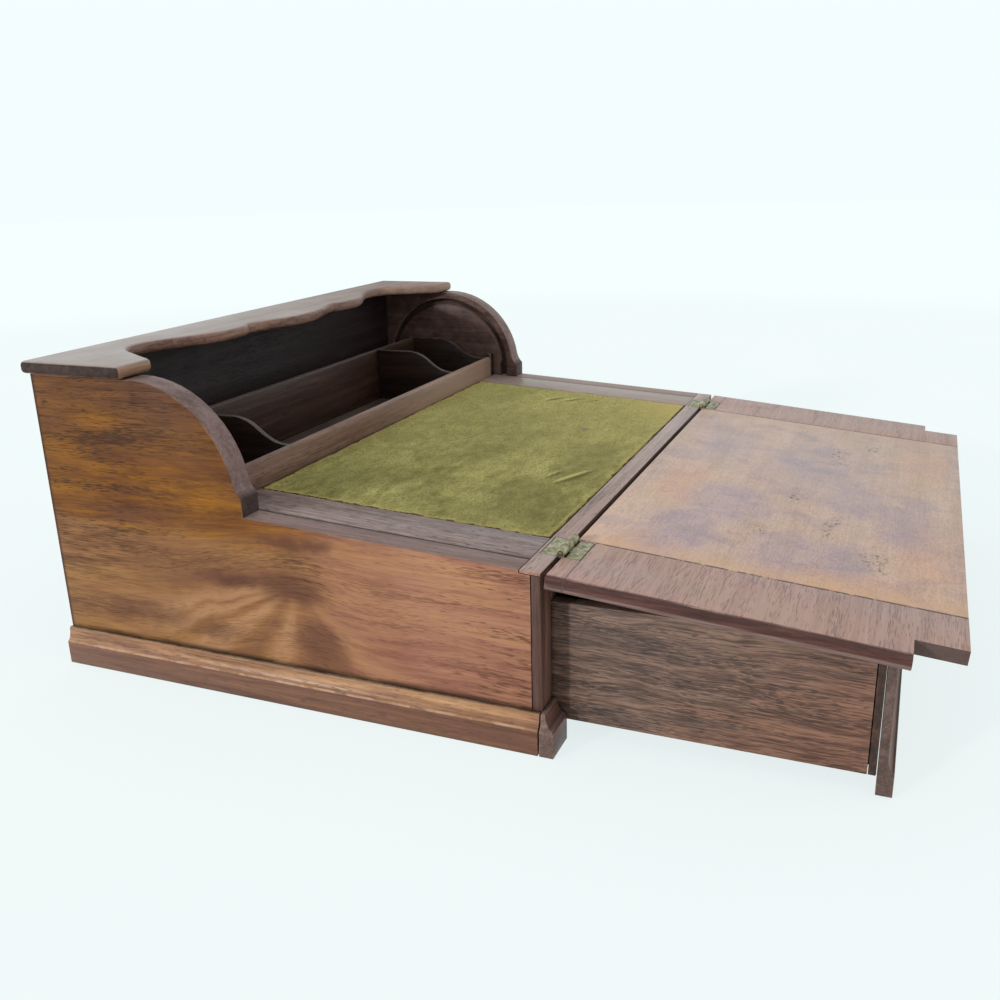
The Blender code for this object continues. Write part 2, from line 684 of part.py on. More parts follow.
def make_flap(hinge):
    """Flap in its hinge's own frame: it runs along -Y, with its top face PIN_RISE below the axis."""
    top = -PIN_RISE
    base = top - FLAP_THICKNESS
    joint = FLAP_HALF - CLEAT_WIDTH
    block(
        "flap_panel",
        (-joint + GAP, -FLAP_END, base),
        (joint - GAP, -HINGE_SETBACK, top),
        FLAP_WOOD,
        hinge,
    )
    drop = (FLAP_THICKNESS - NOSING_QUIRK) / 2
    nose = [
        (FLAP_HALF - NOSING * (1 - math.sin(a)), top - NOSING_QUIRK - drop * (1 - math.cos(a)))
        for a in [math.pi * i / (2 * CURVE_POINTS) for i in range(2 * CURVE_POINTS + 1)]
    ]
    half = [(joint, base), (joint, top), (FLAP_HALF - NOSING, top)] + nose
    for side, hand in (("left", -1), ("right", 1)):
        section = [(hand * x, z) for x, z in half]
        cleat = prism(f"flap_cleat_{side}", section, "Y", -FLAP_END, -HINGE_SETBACK, EDGE, hinge)
        notch_x = sorted((hand * TONGUE_HALF, hand * (FLAP_HALF + FLAP_OVERHANG)))
        notch = block_mesh(
            f"{side}_notch",
            (notch_x[0], -FLAP_END - FLAP_OVERHANG, base - FLAP_THICKNESS),
            (notch_x[1], -FLAP_SHOULDER, top + FLAP_THICKNESS),
        )
        combine(cleat, notch, "DIFFERENCE", hinge)
        corner = corner_mesh(hand, base - FLAP_THICKNESS, top + FLAP_THICKNESS)
        combine(cleat, corner, "DIFFERENCE", hinge)
        combine(cleat, pocket_mesh(hand, -1), "DIFFERENCE", hinge)


def corner_mesh(hand, low, high):
    """What rounding takes off the flap's outer corner by the hinge."""
    middle = (FLAP_HALF - FLAP_CORNER, -HINGE_SETBACK - FLAP_CORNER)
    beyond = (FLAP_HALF + FLAP_CORNER, FLAP_CORNER)
    outline = arc(middle, FLAP_CORNER, 0, math.pi / 2, EDGE_STEP / 2)
    outline += [(middle[0], beyond[1]), beyond, (beyond[0], middle[1])]
    outline = [(hand * x, y) for x, y in outline]
    return outline_mesh("flap_corner", outline, "Z", low, high)


def pocket_mesh(hand, way):
    """Shallow recess for a hinge leaf, open at the edge, in the leaf's own frame."""
    edges = sorted((way * (HINGE_SETBACK - LEAF_DEPTH), way * (LEAF_DEPTH + GAP)))
    middle = hand * HINGE_MIDDLE
    half = HINGE_LENGTH / 2 + GAP
    return block_mesh(
        "leaf_pocket",
        (middle - half, edges[0], -PIN_RISE - LEAF_POCKET),
        (middle + half, edges[1], BARREL_RADIUS),
    )


def make_hinges(cap, fixed, swinging):
    """Butt hinges: the end knuckles are on the case's leaf, the middle one on the flap's."""
    length = HINGE_LENGTH / KNUCKLES
    for side, hand in (("left", -1), ("right", 1)):
        start_at = hand * HINGE_MIDDLE - HINGE_LENGTH / 2
        spans = [
            (start_at + i * length + GAP / 2, start_at + (i + 1) * length - GAP / 2)
            for i in range(KNUCKLES)
        ]
        make_leaf(f"hinge_leaf_{side}", hand, 1, spans[::2], fixed)
        make_leaf(f"flap_hinge_leaf_{side}", hand, -1, spans[1::2], swinging)
        combine(cap, pocket_mesh(hand, 1), "DIFFERENCE", fixed)
        pin = rod_mesh(f"hinge_pin_{side}", PIN_RADIUS, start_at, start_at + HINGE_LENGTH)
        add_object(pin.name, pin, BRASS, fixed)


def make_leaf(name, hand, way, spans, frame):
    """Plate let in flush with the wood, with knuckles round the pin."""
    half = HINGE_LENGTH / 2
    middle = hand * HINGE_MIDDLE
    near = way * (BARREL_RADIUS + 2 * GAP)
    rear, front = sorted((near, way * LEAF_DEPTH))
    under = -PIN_RISE - LEAF_THICKNESS
    low_corner = (middle - half, rear, under)
    leaf = block(name, low_corner, (middle + half, front, -PIN_RISE), BRASS, frame)
    web = sorted((0, way * (BARREL_RADIUS + 4 * GAP)))
    for low, high in spans:
        strip = block_mesh(name + "_web", (low, web[0], under), (high, web[1], -PIN_RISE))
        combine(leaf, strip, "UNION", frame)
        combine(leaf, rod_mesh(name + "_knuckle", BARREL_RADIUS, low, high), "UNION", frame)
    hole = PIN_RADIUS + PIN_PLAY
    bore = rod_mesh(name + "_bore", hole, middle - HINGE_LENGTH, middle + HINGE_LENGTH)
    combine(leaf, bore, "DIFFERENCE", frame)


# Drawer

def make_drawer():
    """Drawer in the place where it is shut; its parent pulls it out."""
    slide = add_empty("drawer_slide", (0, -DRAWER_OPEN, 0))
    outer = DRAWER_OUTER
    inner = outer - DRAWER_SIDE
    face = [(0, DRAWER_FOOT_LIFT), (PLINTH_FRONT_PROJECTION, DRAWER_FOOT_LIFT)]
    face += [(PLINTH_FRONT_PROJECTION, PLINTH_FACE)]
    cove = PLINTH_FRONT_PROJECTION - PLINTH_FILLET - DRAWER_FACE
    hollow = PLINTH_HEIGHT - PLINTH_FACE
    face += [
        (DRAWER_FACE + cove * (1 - math.sin(a)), PLINTH_HEIGHT - hollow * math.cos(a))
        for a in [math.pi / 2 * i / CURVE_POINTS for i in range(CURVE_POINTS + 1)]
    ]
    face += [(DRAWER_FACE, DRAWER_TOP), (0, DRAWER_TOP)]
    section = [(FRONT - out, height) for out, height in face]
    prism("drawer_front", section, "X", -outer, outer, EDGE, slide)
    floor = DRAWER_BASE + DRAWER_BOTTOM_LIFT
    reach = inner + DRAWER_GROOVE

    def groove():
        low = (-reach, at(BOX_REAR - DRAWER_GROOVE), floor - GAP)
        high = (reach, at(DRAWER_REAR + GAP), floor + DRAWER_BOTTOM + GAP)
        return block_mesh("drawer_groove", low, high)

    box_front = block(
        "drawer_box_front",
        (-outer, at(GAP), DRAWER_BASE),
        (outer, at(BOX_REAR), DRAWER_TOP),
        DARK,
        slide,
    )
    combine(box_front, groove(), "DIFFERENCE", slide)
    for side, hand in (("left", -1), ("right", 1)):
        ends = sorted((hand * outer, hand * inner))
        wall = block(
            f"drawer_side_{side}",
            (ends[0], at(SIDE_BEGIN), DRAWER_BASE),
            (ends[1], at(DRAWER_REAR), DRAWER_SIDE_TOP),
            DRAWER_WOOD,
            slide,
        )
        combine(wall, groove(), "DIFFERENCE", slide)
    held = reach - GAP
    block(
        "drawer_bottom",
        (-held, at(BOX_REAR - DRAWER_GROOVE + GAP), floor),
        (held, at(DRAWER_REAR), floor + DRAWER_BOTTOM),
        DRAWER_WOOD,
        slide,
    )
    span = inner - GAP
    block(
        "drawer_back",
        (-span, at(DRAWER_REAR - DRAWER_BACK), floor + DRAWER_BOTTOM + GAP),
        (span, at(DRAWER_REAR), DRAWER_SIDE_TOP - DRAWER_BACK_DROP),
        DRAWER_WOOD,
        slide,
    )


def main():
    make_sides()
    make_shell()
    make_top()
    make_plinth()
    cap = make_writing_surface()
    make_rack()
    make_curtain()
    axis = (0, at(AXIS_DEPTH), AXIS_HEIGHT)
    fixed = add_empty("hinge_axis", axis, WRITING_SLOPE)
    swinging = add_empty("flap_axis", axis, FLAP_DROOP)
    make_flap(swinging)
    make_hinges(cap, fixed, swinging)
    make_drawer()
    bpy.context.view_layer.update()


main()
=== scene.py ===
"""Looks of the roll-top lap desk: worn wood, velvet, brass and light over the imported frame."""

import math
import random

import bmesh
import bpy
from mathutils import Matrix, Vector, noise


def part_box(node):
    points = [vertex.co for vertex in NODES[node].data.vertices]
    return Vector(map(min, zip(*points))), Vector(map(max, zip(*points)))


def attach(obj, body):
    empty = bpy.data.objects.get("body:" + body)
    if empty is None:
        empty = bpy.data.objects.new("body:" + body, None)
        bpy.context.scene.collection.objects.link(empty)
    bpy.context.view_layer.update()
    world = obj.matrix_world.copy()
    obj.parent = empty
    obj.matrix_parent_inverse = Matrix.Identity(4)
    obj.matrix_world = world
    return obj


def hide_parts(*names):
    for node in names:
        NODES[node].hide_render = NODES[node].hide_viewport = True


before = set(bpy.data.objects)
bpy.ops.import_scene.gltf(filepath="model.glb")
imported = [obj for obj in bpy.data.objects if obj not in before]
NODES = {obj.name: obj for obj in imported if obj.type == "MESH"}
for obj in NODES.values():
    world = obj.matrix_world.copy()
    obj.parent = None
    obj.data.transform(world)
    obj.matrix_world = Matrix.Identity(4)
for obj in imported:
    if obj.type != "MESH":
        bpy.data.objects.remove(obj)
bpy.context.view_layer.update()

HALF_WIDTH = 0.173
SIDE_INNER = 0.1605
CASE_FRONT = -0.127
WRITING_SLOPE = math.radians(3.2)
WRITING_FRONT_HEIGHT = 0.0805
FLAP_DROOP = math.radians(5)
FLAP_AXIS = Vector((0, -0.1282, 0.081467))
PIN_RISE = 0.001
ROLL_AXIS = Vector((0, 0.0695, 0.0958))


# Node building

def tone(red, green, blue):
    """Linear colour from the 0 to 255 values that a screen shows."""
    return tuple(
        v / 12.92 if v <= 0.04045 else ((v + 0.055) / 1.055) ** 2.4
        for v in (red / 255, green / 255, blue / 255)
    ) + (1.0,)


def trio(*colours):
    """Dark, middle and light tone of a wood."""
    return tuple(tone(*c) for c in colours)


def put(tree, kind, inputs=None, **settings):
    """Add a node; inputs maps a socket's name or number to a value or to another socket."""
    node = tree.nodes.new(kind)
    for name, value in settings.items():
        setattr(node, name, value)
    for key, value in (inputs or {}).items():
        socket = node.inputs[key]
        if isinstance(value, bpy.types.NodeSocket):
            tree.links.new(value, socket)
        else:
            socket.default_value = value
    return node


def maths(tree, operation, a, b=0.0, c=0.0, clamp=False):
    inputs = {0: a, 1: b, 2: c}
    return put(tree, "ShaderNodeMath", inputs, operation=operation, use_clamp=clamp).outputs[0]


def vectors(tree, operation, a, b=(0, 0, 0)):
    return put(tree, "ShaderNodeVectorMath", {0: a, 1: b}, operation=operation).outputs


def times(tree, a, b):
    return maths(tree, "MULTIPLY", a, b)


def less(tree, a, b):
    return maths(tree, "SUBTRACT", a, b)


def plus(tree, base, value, share):
    """A base and a share of another value."""
    return maths(tree, "MULTIPLY_ADD", value, share, base)


def absolute(tree, value):
    return maths(tree, "ABSOLUTE", value)


def highest(tree, *values):
    result = values[0]
    for value in values[1:]:
        result = maths(tree, "MAXIMUM", result, value)
    return result


def step(tree, value, low, high):
    """0 below low, 1 above high, smooth between them; high may be the smaller one."""
    inputs = {"Value": value, "From Min": low, "From Max": high}
    return put(tree, "ShaderNodeMapRange", inputs, interpolation_type="SMOOTHSTEP").outputs[0]


def span(tree, value, low, high):
    """Map 0..1 to low..high."""
    inputs = {"Value": value, "To Min": low, "To Max": high}
    return put(tree, "ShaderNodeMapRange", inputs).outputs[0]


def mix(tree, fac, a, b, mode="MIX"):
    """Blend two colours, which this node takes at its sockets 6 and 7."""
    inputs = {0: fac, 6: a, 7: b}
    return put(tree, "ShaderNodeMix", inputs, data_type="RGBA", blend_type=mode).outputs[2]


def ramp(tree, fac, stops):
    node = put(tree, "ShaderNodeValToRGB", {"Fac": fac})
    elements = node.color_ramp.elements
    while len(elements) < len(stops):
        elements.new(0.5)
    for element, (position, colour) in zip(elements, stops):
        element.position = position
        element.color = colour
    return node.outputs["Color"]


def place(tree):
    return put(tree, "ShaderNodeTexCoord").outputs["Object"]


def axes(tree, vector):
    node = put(tree, "ShaderNodeSeparateXYZ", {0: vector})
    return node.outputs[0], node.outputs[1], node.outputs[2]


def stretch(tree, vector, sizes, seed=0.0, turn=(0, 0, 0)):
    """Coordinates whose unit is a size in metres, one for all axes or one for each."""
    if isinstance(sizes, float):
        sizes = (sizes,) * 3
    scale = [1 / s for s in sizes]
    inputs = {"Vector": vector, "Location": (seed, seed * 1.7, seed * 2.3), "Scale": scale}
    inputs["Rotation"] = turn
    return put(tree, "ShaderNodeMapping", inputs).outputs[0]


def clouds(tree, vector, detail=2.0, roughness=0.5, distortion=0.0):
    inputs = {"Vector": vector, "Scale": 1.0, "Detail": detail, "Roughness": roughness}
    inputs["Distortion"] = distortion
    return put(tree, "ShaderNodeTexNoise", inputs).outputs["Fac"]


def mottle(tree, vector, sizes, seed=0.0, detail=2.0, roughness=0.5, turn=(0, 0, 0)):
    """Noise whose cells have the given sizes."""
    return clouds(tree, stretch(tree, vector, sizes, seed, turn), detail, roughness)


def blob(tree, vector, centre, sizes):
    """1 at a centre, falling to 0 at the given distances from it."""
    away = vectors(tree, "SUBTRACT", vector, centre)[0]
    scaled = stretch(tree, away, sizes)
    length = vectors(tree, "LENGTH", scaled)["Value"]
    return step(tree, length, 1.0, 0.15)


def patches(tree, vector, places):
    """The strongest of several blobs, each a centre followed by how far it reaches."""
    return highest(tree, *[blob(tree, vector, p[:3], p[3:]) for p in places])


def new_material(name):
    material = bpy.data.materials.new(name)
    material.use_nodes = True
    return material, material.node_tree, material.node_tree.nodes["Principled BSDF"]


def finish_shader(tree, shader, colour, roughness, height, depth, specular=0.5):
    """Wire colour, roughness and a bump of the given depth in metres."""
    tree.links.new(colour, shader.inputs["Base Color"])
    tree.links.new(roughness, shader.inputs["Roughness"])
    bump = put(tree, "ShaderNodeBump", {"Height": height, "Distance": depth, "Strength": 1.0})
    tree.links.new(bump.outputs[0], shader.inputs["Normal"])
    shader.inputs["Specular IOR Level"].default_value = specular


# Wood

def grain(tree, vector, along, seed=0.0, streak=0.006, pore=(0.009, 0.0005), crowding=0.45,
          shares=(0.5, 0.32, 0.18)):
    """Streaks round 0.5 and a mask of dark pores, all drawn out along one axis."""
    def cells(length, width, shift):
        sizes = [width, width, width]
        sizes[along] = length
        return stretch(tree, vector, sizes, seed + shift)

    broad = clouds(tree, cells(0.16, streak, 0), 3.0, 0.55, 0.3)
    fine = clouds(tree, cells(0.04, 0.0017, 1), 2.0, 0.6)
    hair = clouds(tree, cells(0.014, 0.0006, 2), 1.0)
    value = plus(tree, times(tree, broad, shares[0]), fine, shares[1])
    value = plus(tree, value, hair, shares[2])
    dash = clouds(tree, cells(pore[0], pore[1], 3), 1.0)
    crowd = clouds(tree, cells(0.07, 0.006, 4), 2.0)
    dash = plus(tree, dash, less(tree, crowd, 0.5), crowding)
    return value, step(tree, dash, 0.58, 0.67)


def spread(tree, value, contrast):
    return plus(tree, 0.5, less(tree, value, 0.5), contrast)


def shades(tree, value, tones):
    dark, middle, light = tones
    return ramp(tree, value, [(0.36, dark), (0.5, middle), (0.64, light)])


def bend(tree, vector, size, amount, seed=0.0):
    """Coordinates pushed about by soft noise, in metres."""
    where = stretch(tree, vector, size, seed)
    push = put(tree, "ShaderNodeTexNoise", {"Vector": where, "Scale": 1.0, "Detail": 3.0})
    centred = vectors(tree, "SUBTRACT", push.outputs["Color"], (0.5, 0.5, 0.5))[0]
    sized = vectors(tree, "MULTIPLY", centred, (2 * amount,) * 3)[0]
    return vectors(tree, "ADD", vector, sized)[0]


def edges(tree, radius):
    """1 near a board's own edges."""
    eased = put(tree, "ShaderNodeBevel", {"Radius": radius}, samples=4).outputs[0]
    flat = put(tree, "ShaderNodeNewGeometry").outputs["True Normal"]
    agree = vectors(tree, "DOT_PRODUCT", eased, flat)
    return step(tree, agree["Value"], 0.985, 0.8)


def crevice(tree, distance):
    """1 where other surfaces are close by."""
    hidden = put(tree, "ShaderNodeAmbientOcclusion", {"Distance": distance}, samples=4)
    return step(tree, hidden.outputs["AO"], 0.7, 0.25)


def fade(tree, mask, amount, speckle=None):
    value = maths(tree, "MULTIPLY", mask, amount, clamp=True)
    return maths(tree, "MULTIPLY", value, speckle) if speckle else value


def stain(tree, colour, mask, amount, paint, speckle=None):
    """Lay a paint over a colour where a mask is strong."""
    return mix(tree, fade(tree, mask, amount, speckle), colour, paint)


WORN_EDGE = 0.0009


def weather(tree, vector, colour, worn=None, wear=0.5, dirt=0.6, seed=0.0):
    """Rub a board's edges towards a worn tone and darken its corners, where other surfaces are
    close, with painted shade and grime.
    """
    rub = mottle(tree, vector, 0.008, seed, 3.0, 0.65)
    if worn:
        chips = step(tree, rub, 0.4, 0.62)
        colour = stain(tree, colour, edges(tree, WORN_EDGE), wear, worn, chips)
    # Painted shade with grime near other surfaces; dirt sets its strength.
    return stain(tree, colour, crevice(tree, 0.003), dirt, tone(26, 20, 18))


def facing(tree):
    """Surface direction in the frame of the piece, so that a pose keeps its paint."""
    return axes(tree, put(tree, "ShaderNodeTexCoord").outputs["Normal"])


def tinted(tree, value, colour):
    """Grain in the shades of one colour."""
    tones = [tuple(k * v for v in colour[:3]) + (1.0,) for k in (0.55, 1.0, 1.5)]
    return shades(tree, spread(tree, value, 1.3), tones)


def plain_wood(name, along, tones, roughness=0.42, pores=0.55, contrast=1.0, dust=0.1, worn=None,
               wear=0.5, dirt=0.6, seed=0.0, front=None, seam=None, pale_end=None,
               ends=None, rear=None, **settings):
    """Wood all over, worn at its edges, with handling marks in its gloss and a little dust."""
    material, tree, shader = new_material(name)
    vector = place(tree)
    value, mark = grain(tree, vector, along, seed, **settings)
    colour = shades(tree, spread(tree, value, contrast), tones)
    side, ahead, tilt = facing(tree)
    side = absolute(tree, side)
    for paint, way, low, high in (
            (front, ahead, -0.6, -0.9), (rear, ahead, 0.6, 0.9), (ends, side, 0.6, 0.9)):
        if paint:
            shown = fade(tree, step(tree, way, low, high), 0.9)
            colour = mix(tree, shown, colour, tinted(tree, value, paint))
    pore_tone = tuple(0.28 * v for v in tones[0][:3]) + (1.0,)
    colour = stain(tree, colour, mark, pores, pore_tone)
    rub = mottle(tree, vector, 0.02, 7, 3.0, 0.6)
    upward = step(tree, tilt, 0.5, 0.95)
    colour = stain(tree, colour, upward, dust, tone(190, 180, 172), rub)
    # Worn edges, and corners darkened with painted shade and grime as strong as dirt says.
    colour = weather(tree, vector, colour, worn, wear, dirt=dirt, seed=seed)
    x = axes(tree, vector)[0]
    if seam:
        line = step(tree, absolute(tree, x), seam - 0.0008, seam - 0.0003)
        colour = stain(tree, colour, line, 0.8, tone(34, 25, 23))
    if pale_end:
        colour = stain(tree, colour, step(tree, x, -0.06, 0.10), 0.6, pale_end)
    height = plus(tree, times(tree, value, 0.5), mark, -1.0)
    rough = span(tree, rub, roughness - 0.1, roughness + 0.12)
    finish_shader(tree, shader, colour, rough, height, 0.00006, 0.28)
    return material


# Zones of the veneer: the front and low zones are lighter and the top zone darker, partly as
# painted light.
REAR_HUES = trio((92, 54, 27), (120, 75, 33), (148, 97, 26))
TOP_HUES = trio((92, 55, 32), (110, 70, 38), (124, 80, 36))
FRONT_HUES = trio((147, 100, 84), (167, 120, 96), (179, 133, 98))
LOW_HUES = trio((126, 86, 58), (148, 106, 68), (160, 118, 72))
# Rays of the veneer's fan: direction in degrees and lightness
RAYS = ((-150, 0.5), (-134, 0.6), (-124, 0.36), (-98, 0.34), (-86, 0.44), (-77, 0.72), (-69, 0.74),
        (-60, 0.5), (-53, 0.36), (-45, 0.44), (-38, 0.74), (-32, 0.76), (-28, 0.5), (-25, 0.46),
        (-22, 0.76), (-19, 0.72), (-17, 0.56), (-14, 0.76), (-9, 0.62), (-4, 0.3), (6, 0.4),
        (20, 0.5))
RIM_TONES = trio((104, 84, 79), (130, 107, 102), (150, 130, 125))
STRIP_TONES = trio((112, 90, 85), (138, 116, 110), (154, 134, 128))
UPRIGHT_TONES = trio((54, 36, 30), (78, 54, 46), (100, 72, 61))
DARK_TONES = trio((40, 26, 21), (62, 42, 34), (84, 60, 48))
RAIL_TONES = trio((84, 60, 49), (120, 91, 77), (144, 114, 100))
# Inside boards: very dark, partly dark wood and partly painted shade of the closed-in inside.
INNER_TONES = trio((24, 15, 16), (38, 26, 27), (52, 37, 37))
CLEAT_TONES = trio((154, 122, 114), (177, 145, 135), (189, 158, 148))
CROSS_TONES = trio((134, 108, 100), (168, 142, 133), (186, 162, 151))
BLOCK_TONES = trio((82, 62, 56), (110, 88, 80), (134, 108, 98))
DIVIDER_TONES = trio((26, 17, 15), (42, 29, 25), (58, 42, 35))
DRAWER_TONES = trio((78, 60, 52), (112, 87, 75), (136, 109, 94))
FACE_TONES = trio((70, 54, 49), (94, 75, 69), (114, 94, 87))
TOP_TONES = trio((110, 88, 80), (138, 114, 105), (160, 138, 128))
EDGE_TONES = trio((88, 64, 56), (126, 94, 82), (156, 120, 105))
HORN_TONES = trio((118, 84, 62), (156, 120, 94), (176, 140, 112))
END_TONES = trio((24, 17, 16), (37, 28, 26), (52, 40, 37))

FAN_CENTRE_Y = -0.0116
FAN_CENTRE_Z = 0.0587
FAN_START = -150  # degrees, as in RAYS
FAN_SWEEP = 170


def fan(tree, y, z, warp):
    """Lightness round 0.5 of the rays that spread from one point of the veneer."""
    dy = less(tree, y, FAN_CENTRE_Y)
    dz = less(tree, z, FAN_CENTRE_Z)
    radius = maths(tree, "SQRT", maths(tree, "ADD", times(tree, dy, dy), times(tree, dz, dz)))
    angle = times(tree, maths(tree, "ARCTAN2", dz, dy), 180 / math.pi)
    angle = plus(tree, angle, less(tree, warp, 0.5), 13.0)
    turn = plus(tree, -FAN_START / FAN_SWEEP, angle, 1 / FAN_SWEEP)
    stops = [((a - FAN_START) / FAN_SWEEP, (v, v, v, 1.0)) for a, v in RAYS]
    reach = times(tree, step(tree, radius, 0.115, 0.06), step(tree, radius, 0.006, 0.022))
    rays = less(tree, ramp(tree, turn, stops), 0.5)
    return times(tree, rays, reach), reach


def veneer_board():
    """Outer face in figured veneer with a fan of rays, edges in purple-brown, inside dark."""
    material, tree, shader = new_material("veneered_board")
    vector = place(tree)
    x, y, z = axes(tree, vector)
    side, ahead, tilt = facing(tree)
    outward = times(tree, side, maths(tree, "DIVIDE", x, HALF_WIDTH))
    outside = step(tree, outward, 0.55, 0.8)
    inside = step(tree, outward, -0.55, -0.8)

    warp = mottle(tree, vector, 0.03, 5, 2.0)
    drift = mottle(tree, vector, (0.1, 0.07, 0.02), 8, 2.0)
    hill = times(tree, maths(tree, "ADD", y, 0.010), 1 / 0.05)
    hill = maths(tree, "EXPONENT", times(tree, times(tree, hill, hill), -1.0))
    plateau = times(tree, step(tree, y, 0.03, -0.04), 0.66)
    hill = maths(tree, "SMOOTH_MAX", hill, plateau, 0.3)
    lift = times(tree, times(tree, hill, step(tree, z, 0.098, 0.062)), 0.016)
    lift = plus(tree, lift, less(tree, drift, 0.5), 0.0035)
    figure = put(tree, "ShaderNodeCombineXYZ", {0: x, 1: y, 2: less(tree, z, lift)})
    figure = figure.outputs[0]
    value, mark = grain(tree, figure, 1, 1.3, streak=0.004, pore=(0.006, 0.00045), crowding=0.7,
                        shares=(0.3, 0.32, 0.38))

    broad = mottle(tree, figure, (0.05, 0.06, 0.012), 14, 3.0, 0.6)
    narrow = mottle(tree, figure, (0.05, 0.032, 0.0024), 23, 3.0, 0.6)
    hue = plus(tree, times(tree, broad, 0.6), narrow, 0.4)
    # Lighter towards the front and the bottom, darker at the top: partly the veneer's own colour,
    # partly painted light (more light at the front, bounce from the floor, shade under the top's
    # overhang).
    forward = step(tree, plus(tree, y, warp, 0.07), 0.06, -0.05)
    upper = step(tree, plus(tree, z, warp, 0.03), 0.118, 0.142)
    lower = step(tree, plus(tree, z, broad, 0.024), 0.096, 0.084)
    face = mix(tree, upper, shades(tree, hue, REAR_HUES), shades(tree, hue, TOP_HUES))
    face = mix(tree, lower, face, shades(tree, hue, LOW_HUES))
    face = mix(tree, forward, face, shades(tree, hue, FRONT_HUES))
    light = ramp(tree, value, [(0.38, tone(178, 170, 166)), (0.5, tone(238, 236, 235)),
                               (0.6, tone(255, 255, 255))])
    rays, near = fan(tree, y, z, warp)
    face = mix(tree, span(tree, near, 1.0, 0.4), face, light, "MULTIPLY")
    gold = patches(tree, figure, (
        (0, 0.115, 0.112, 4, 0.022, 0.012), (0, 0.112, 0.094, 4, 0.026, 0.009),
        (0, 0.034, 0.094, 4, 0.020, 0.012), (0, 0.090, 0.128, 4, 0.024, 0.008)))
    face = stain(tree, face, gold, 0.55, tone(152, 100, 26), span(tree, narrow, 0.2, 1.5))

    face = mix(tree, maths(tree, "MULTIPLY", rays, 2.6, clamp=True), face, tone(176, 134, 98))
    face = mix(tree, maths(tree, "MULTIPLY", rays, -3.2, clamp=True), face, tone(104, 68, 54))
    soft = bend(tree, vector, 0.012, 0.005, 3)
    knot = patches(tree, soft, (
        (0, -0.0220, 0.0795, 4, 0.013, 0.0055), (0, -0.0070, 0.0785, 4, 0.024, 0.0045),
        (0, -0.0130, 0.0560, 4, 0.020, 0.0100), (0, -0.0040, 0.0580, 4, 0.024, 0.0120),
        (0, 0.0240, 0.0577, 4, 0.024, 0.0070)))
    face = stain(tree, face, knot, 0.76, tone(86, 54, 44), span(tree, narrow, 0.5, 1.3))
    dusk = patches(tree, soft, (
        (0, 0.0714, 0.0333, 4, 0.040, 0.0085), (0, 0.0370, 0.0300, 4, 0.026, 0.0085),
        (0, -0.0210, 0.0310, 4, 0.019, 0.0160), (0, 0.0700, 0.0845, 4, 0.050, 0.0060)))
    face = stain(tree, face, dusk, 0.55, tone(92, 58, 48), span(tree, narrow, 0.3, 1.5))
    calm = times(tree, step(tree, y, -0.05, 0.0), step(tree, z, 0.085, 0.05))
    calm = highest(tree, calm, times(tree, near, 0.8))
    mark_tone = mix(tree, forward, tone(46, 28, 17), tone(80, 50, 37))
    face = mix(tree, times(tree, mark, span(tree, calm, 0.7, 0.26)), face, mark_tone)
    dirt = times(tree, step(tree, z, 0.0215, 0.0190), step(tree, warp, 0.25, 0.6))
    face = stain(tree, face, dirt, 0.75, tone(46, 36, 28))
    border = edges(tree, WORN_EDGE)
    rub = mottle(tree, vector, 0.025, 9, 3.0, 0.6)
    pale_edge = times(tree, border, step(tree, rub, 0.5, 0.62))
    face = stain(tree, face, border, 0.5, tone(74, 46, 36))
    face = stain(tree, face, step(tree, y, 0.1246, 0.1264), 0.75, tone(50, 34, 26))
    face = stain(tree, face, pale_edge, 0.6, tone(216, 172, 142))

    rim_value, rim_mark = grain(tree, vector, 1, 4.1, pore=(0.005, 0.0005))
    edge = shades(tree, spread(tree, rim_value, 0.9), RIM_TONES)
    edge = stain(tree, edge, rim_mark, 0.4, tone(60, 44, 42))
    edge = stain(tree, edge, border, 0.5, tone(104, 66, 56))
    up = step(tree, tilt, 0.3, 0.98)
    strip = times(tree, up, step(tree, z, 0.094, 0.0925))
    pale = shades(tree, spread(tree, rim_value, 0.9), STRIP_TONES)
    pale = stain(tree, pale, rim_mark, 0.4, tone(84, 62, 56))
    pale = stain(tree, pale, step(tree, absolute(tree, x), SIDE_INNER + 0.0007,
                                  SIDE_INNER + 0.0002), 0.8, tone(34, 25, 23))
    pale = stain(tree, pale, step(tree, x, 0.0, 0.1), 0.3, tone(200, 184, 168))
    edge = mix(tree, strip, edge, pale)
    foot = times(tree, step(tree, z, 0.1005, 0.0970), step(tree, ahead, -0.5, -0.8))
    edge = stain(tree, edge, foot, 0.8, tone(42, 31, 27))
    edge = stain(tree, edge, step(tree, ahead, 0.5, 0.8), 0.7, tone(66, 46, 38))

    blot = mottle(tree, vector, 0.014, 6, 3.0, 0.6)
    dark_value, dark_mark = grain(tree, vector, 1, 6.2)
    dark_value = plus(tree, times(tree, dark_value, 0.5), blot, 0.5)
    dark = shades(tree, dark_value, trio((56, 41, 37), (86, 66, 60), (110, 88, 80)))
    dark = stain(tree, dark, dark_mark, 0.3, tone(20, 15, 15))
    # Darker in the tambour groove: painted shade in the recess.
    groove = step(tree, absolute(tree, x), SIDE_INNER + 0.0007, SIDE_INNER + 0.0017)
    dark = stain(tree, dark, groove, 0.6, tone(34, 24, 21))
    colour = mix(tree, inside, mix(tree, outside, edge, face), dark)
    # Painted shade with grime where other parts come close, weaker on the outer face.
    nook = times(tree, crevice(tree, 0.003), span(tree, outside, 0.7, 0.3))
    colour = mix(tree, nook, colour, tone(26, 20, 18))
    height = plus(tree, times(tree, value, 0.5), mark, -1.0)
    finish_shader(tree, shader, colour, span(tree, rub, 0.36, 0.56), height, 0.00005, 0.12)
    return material


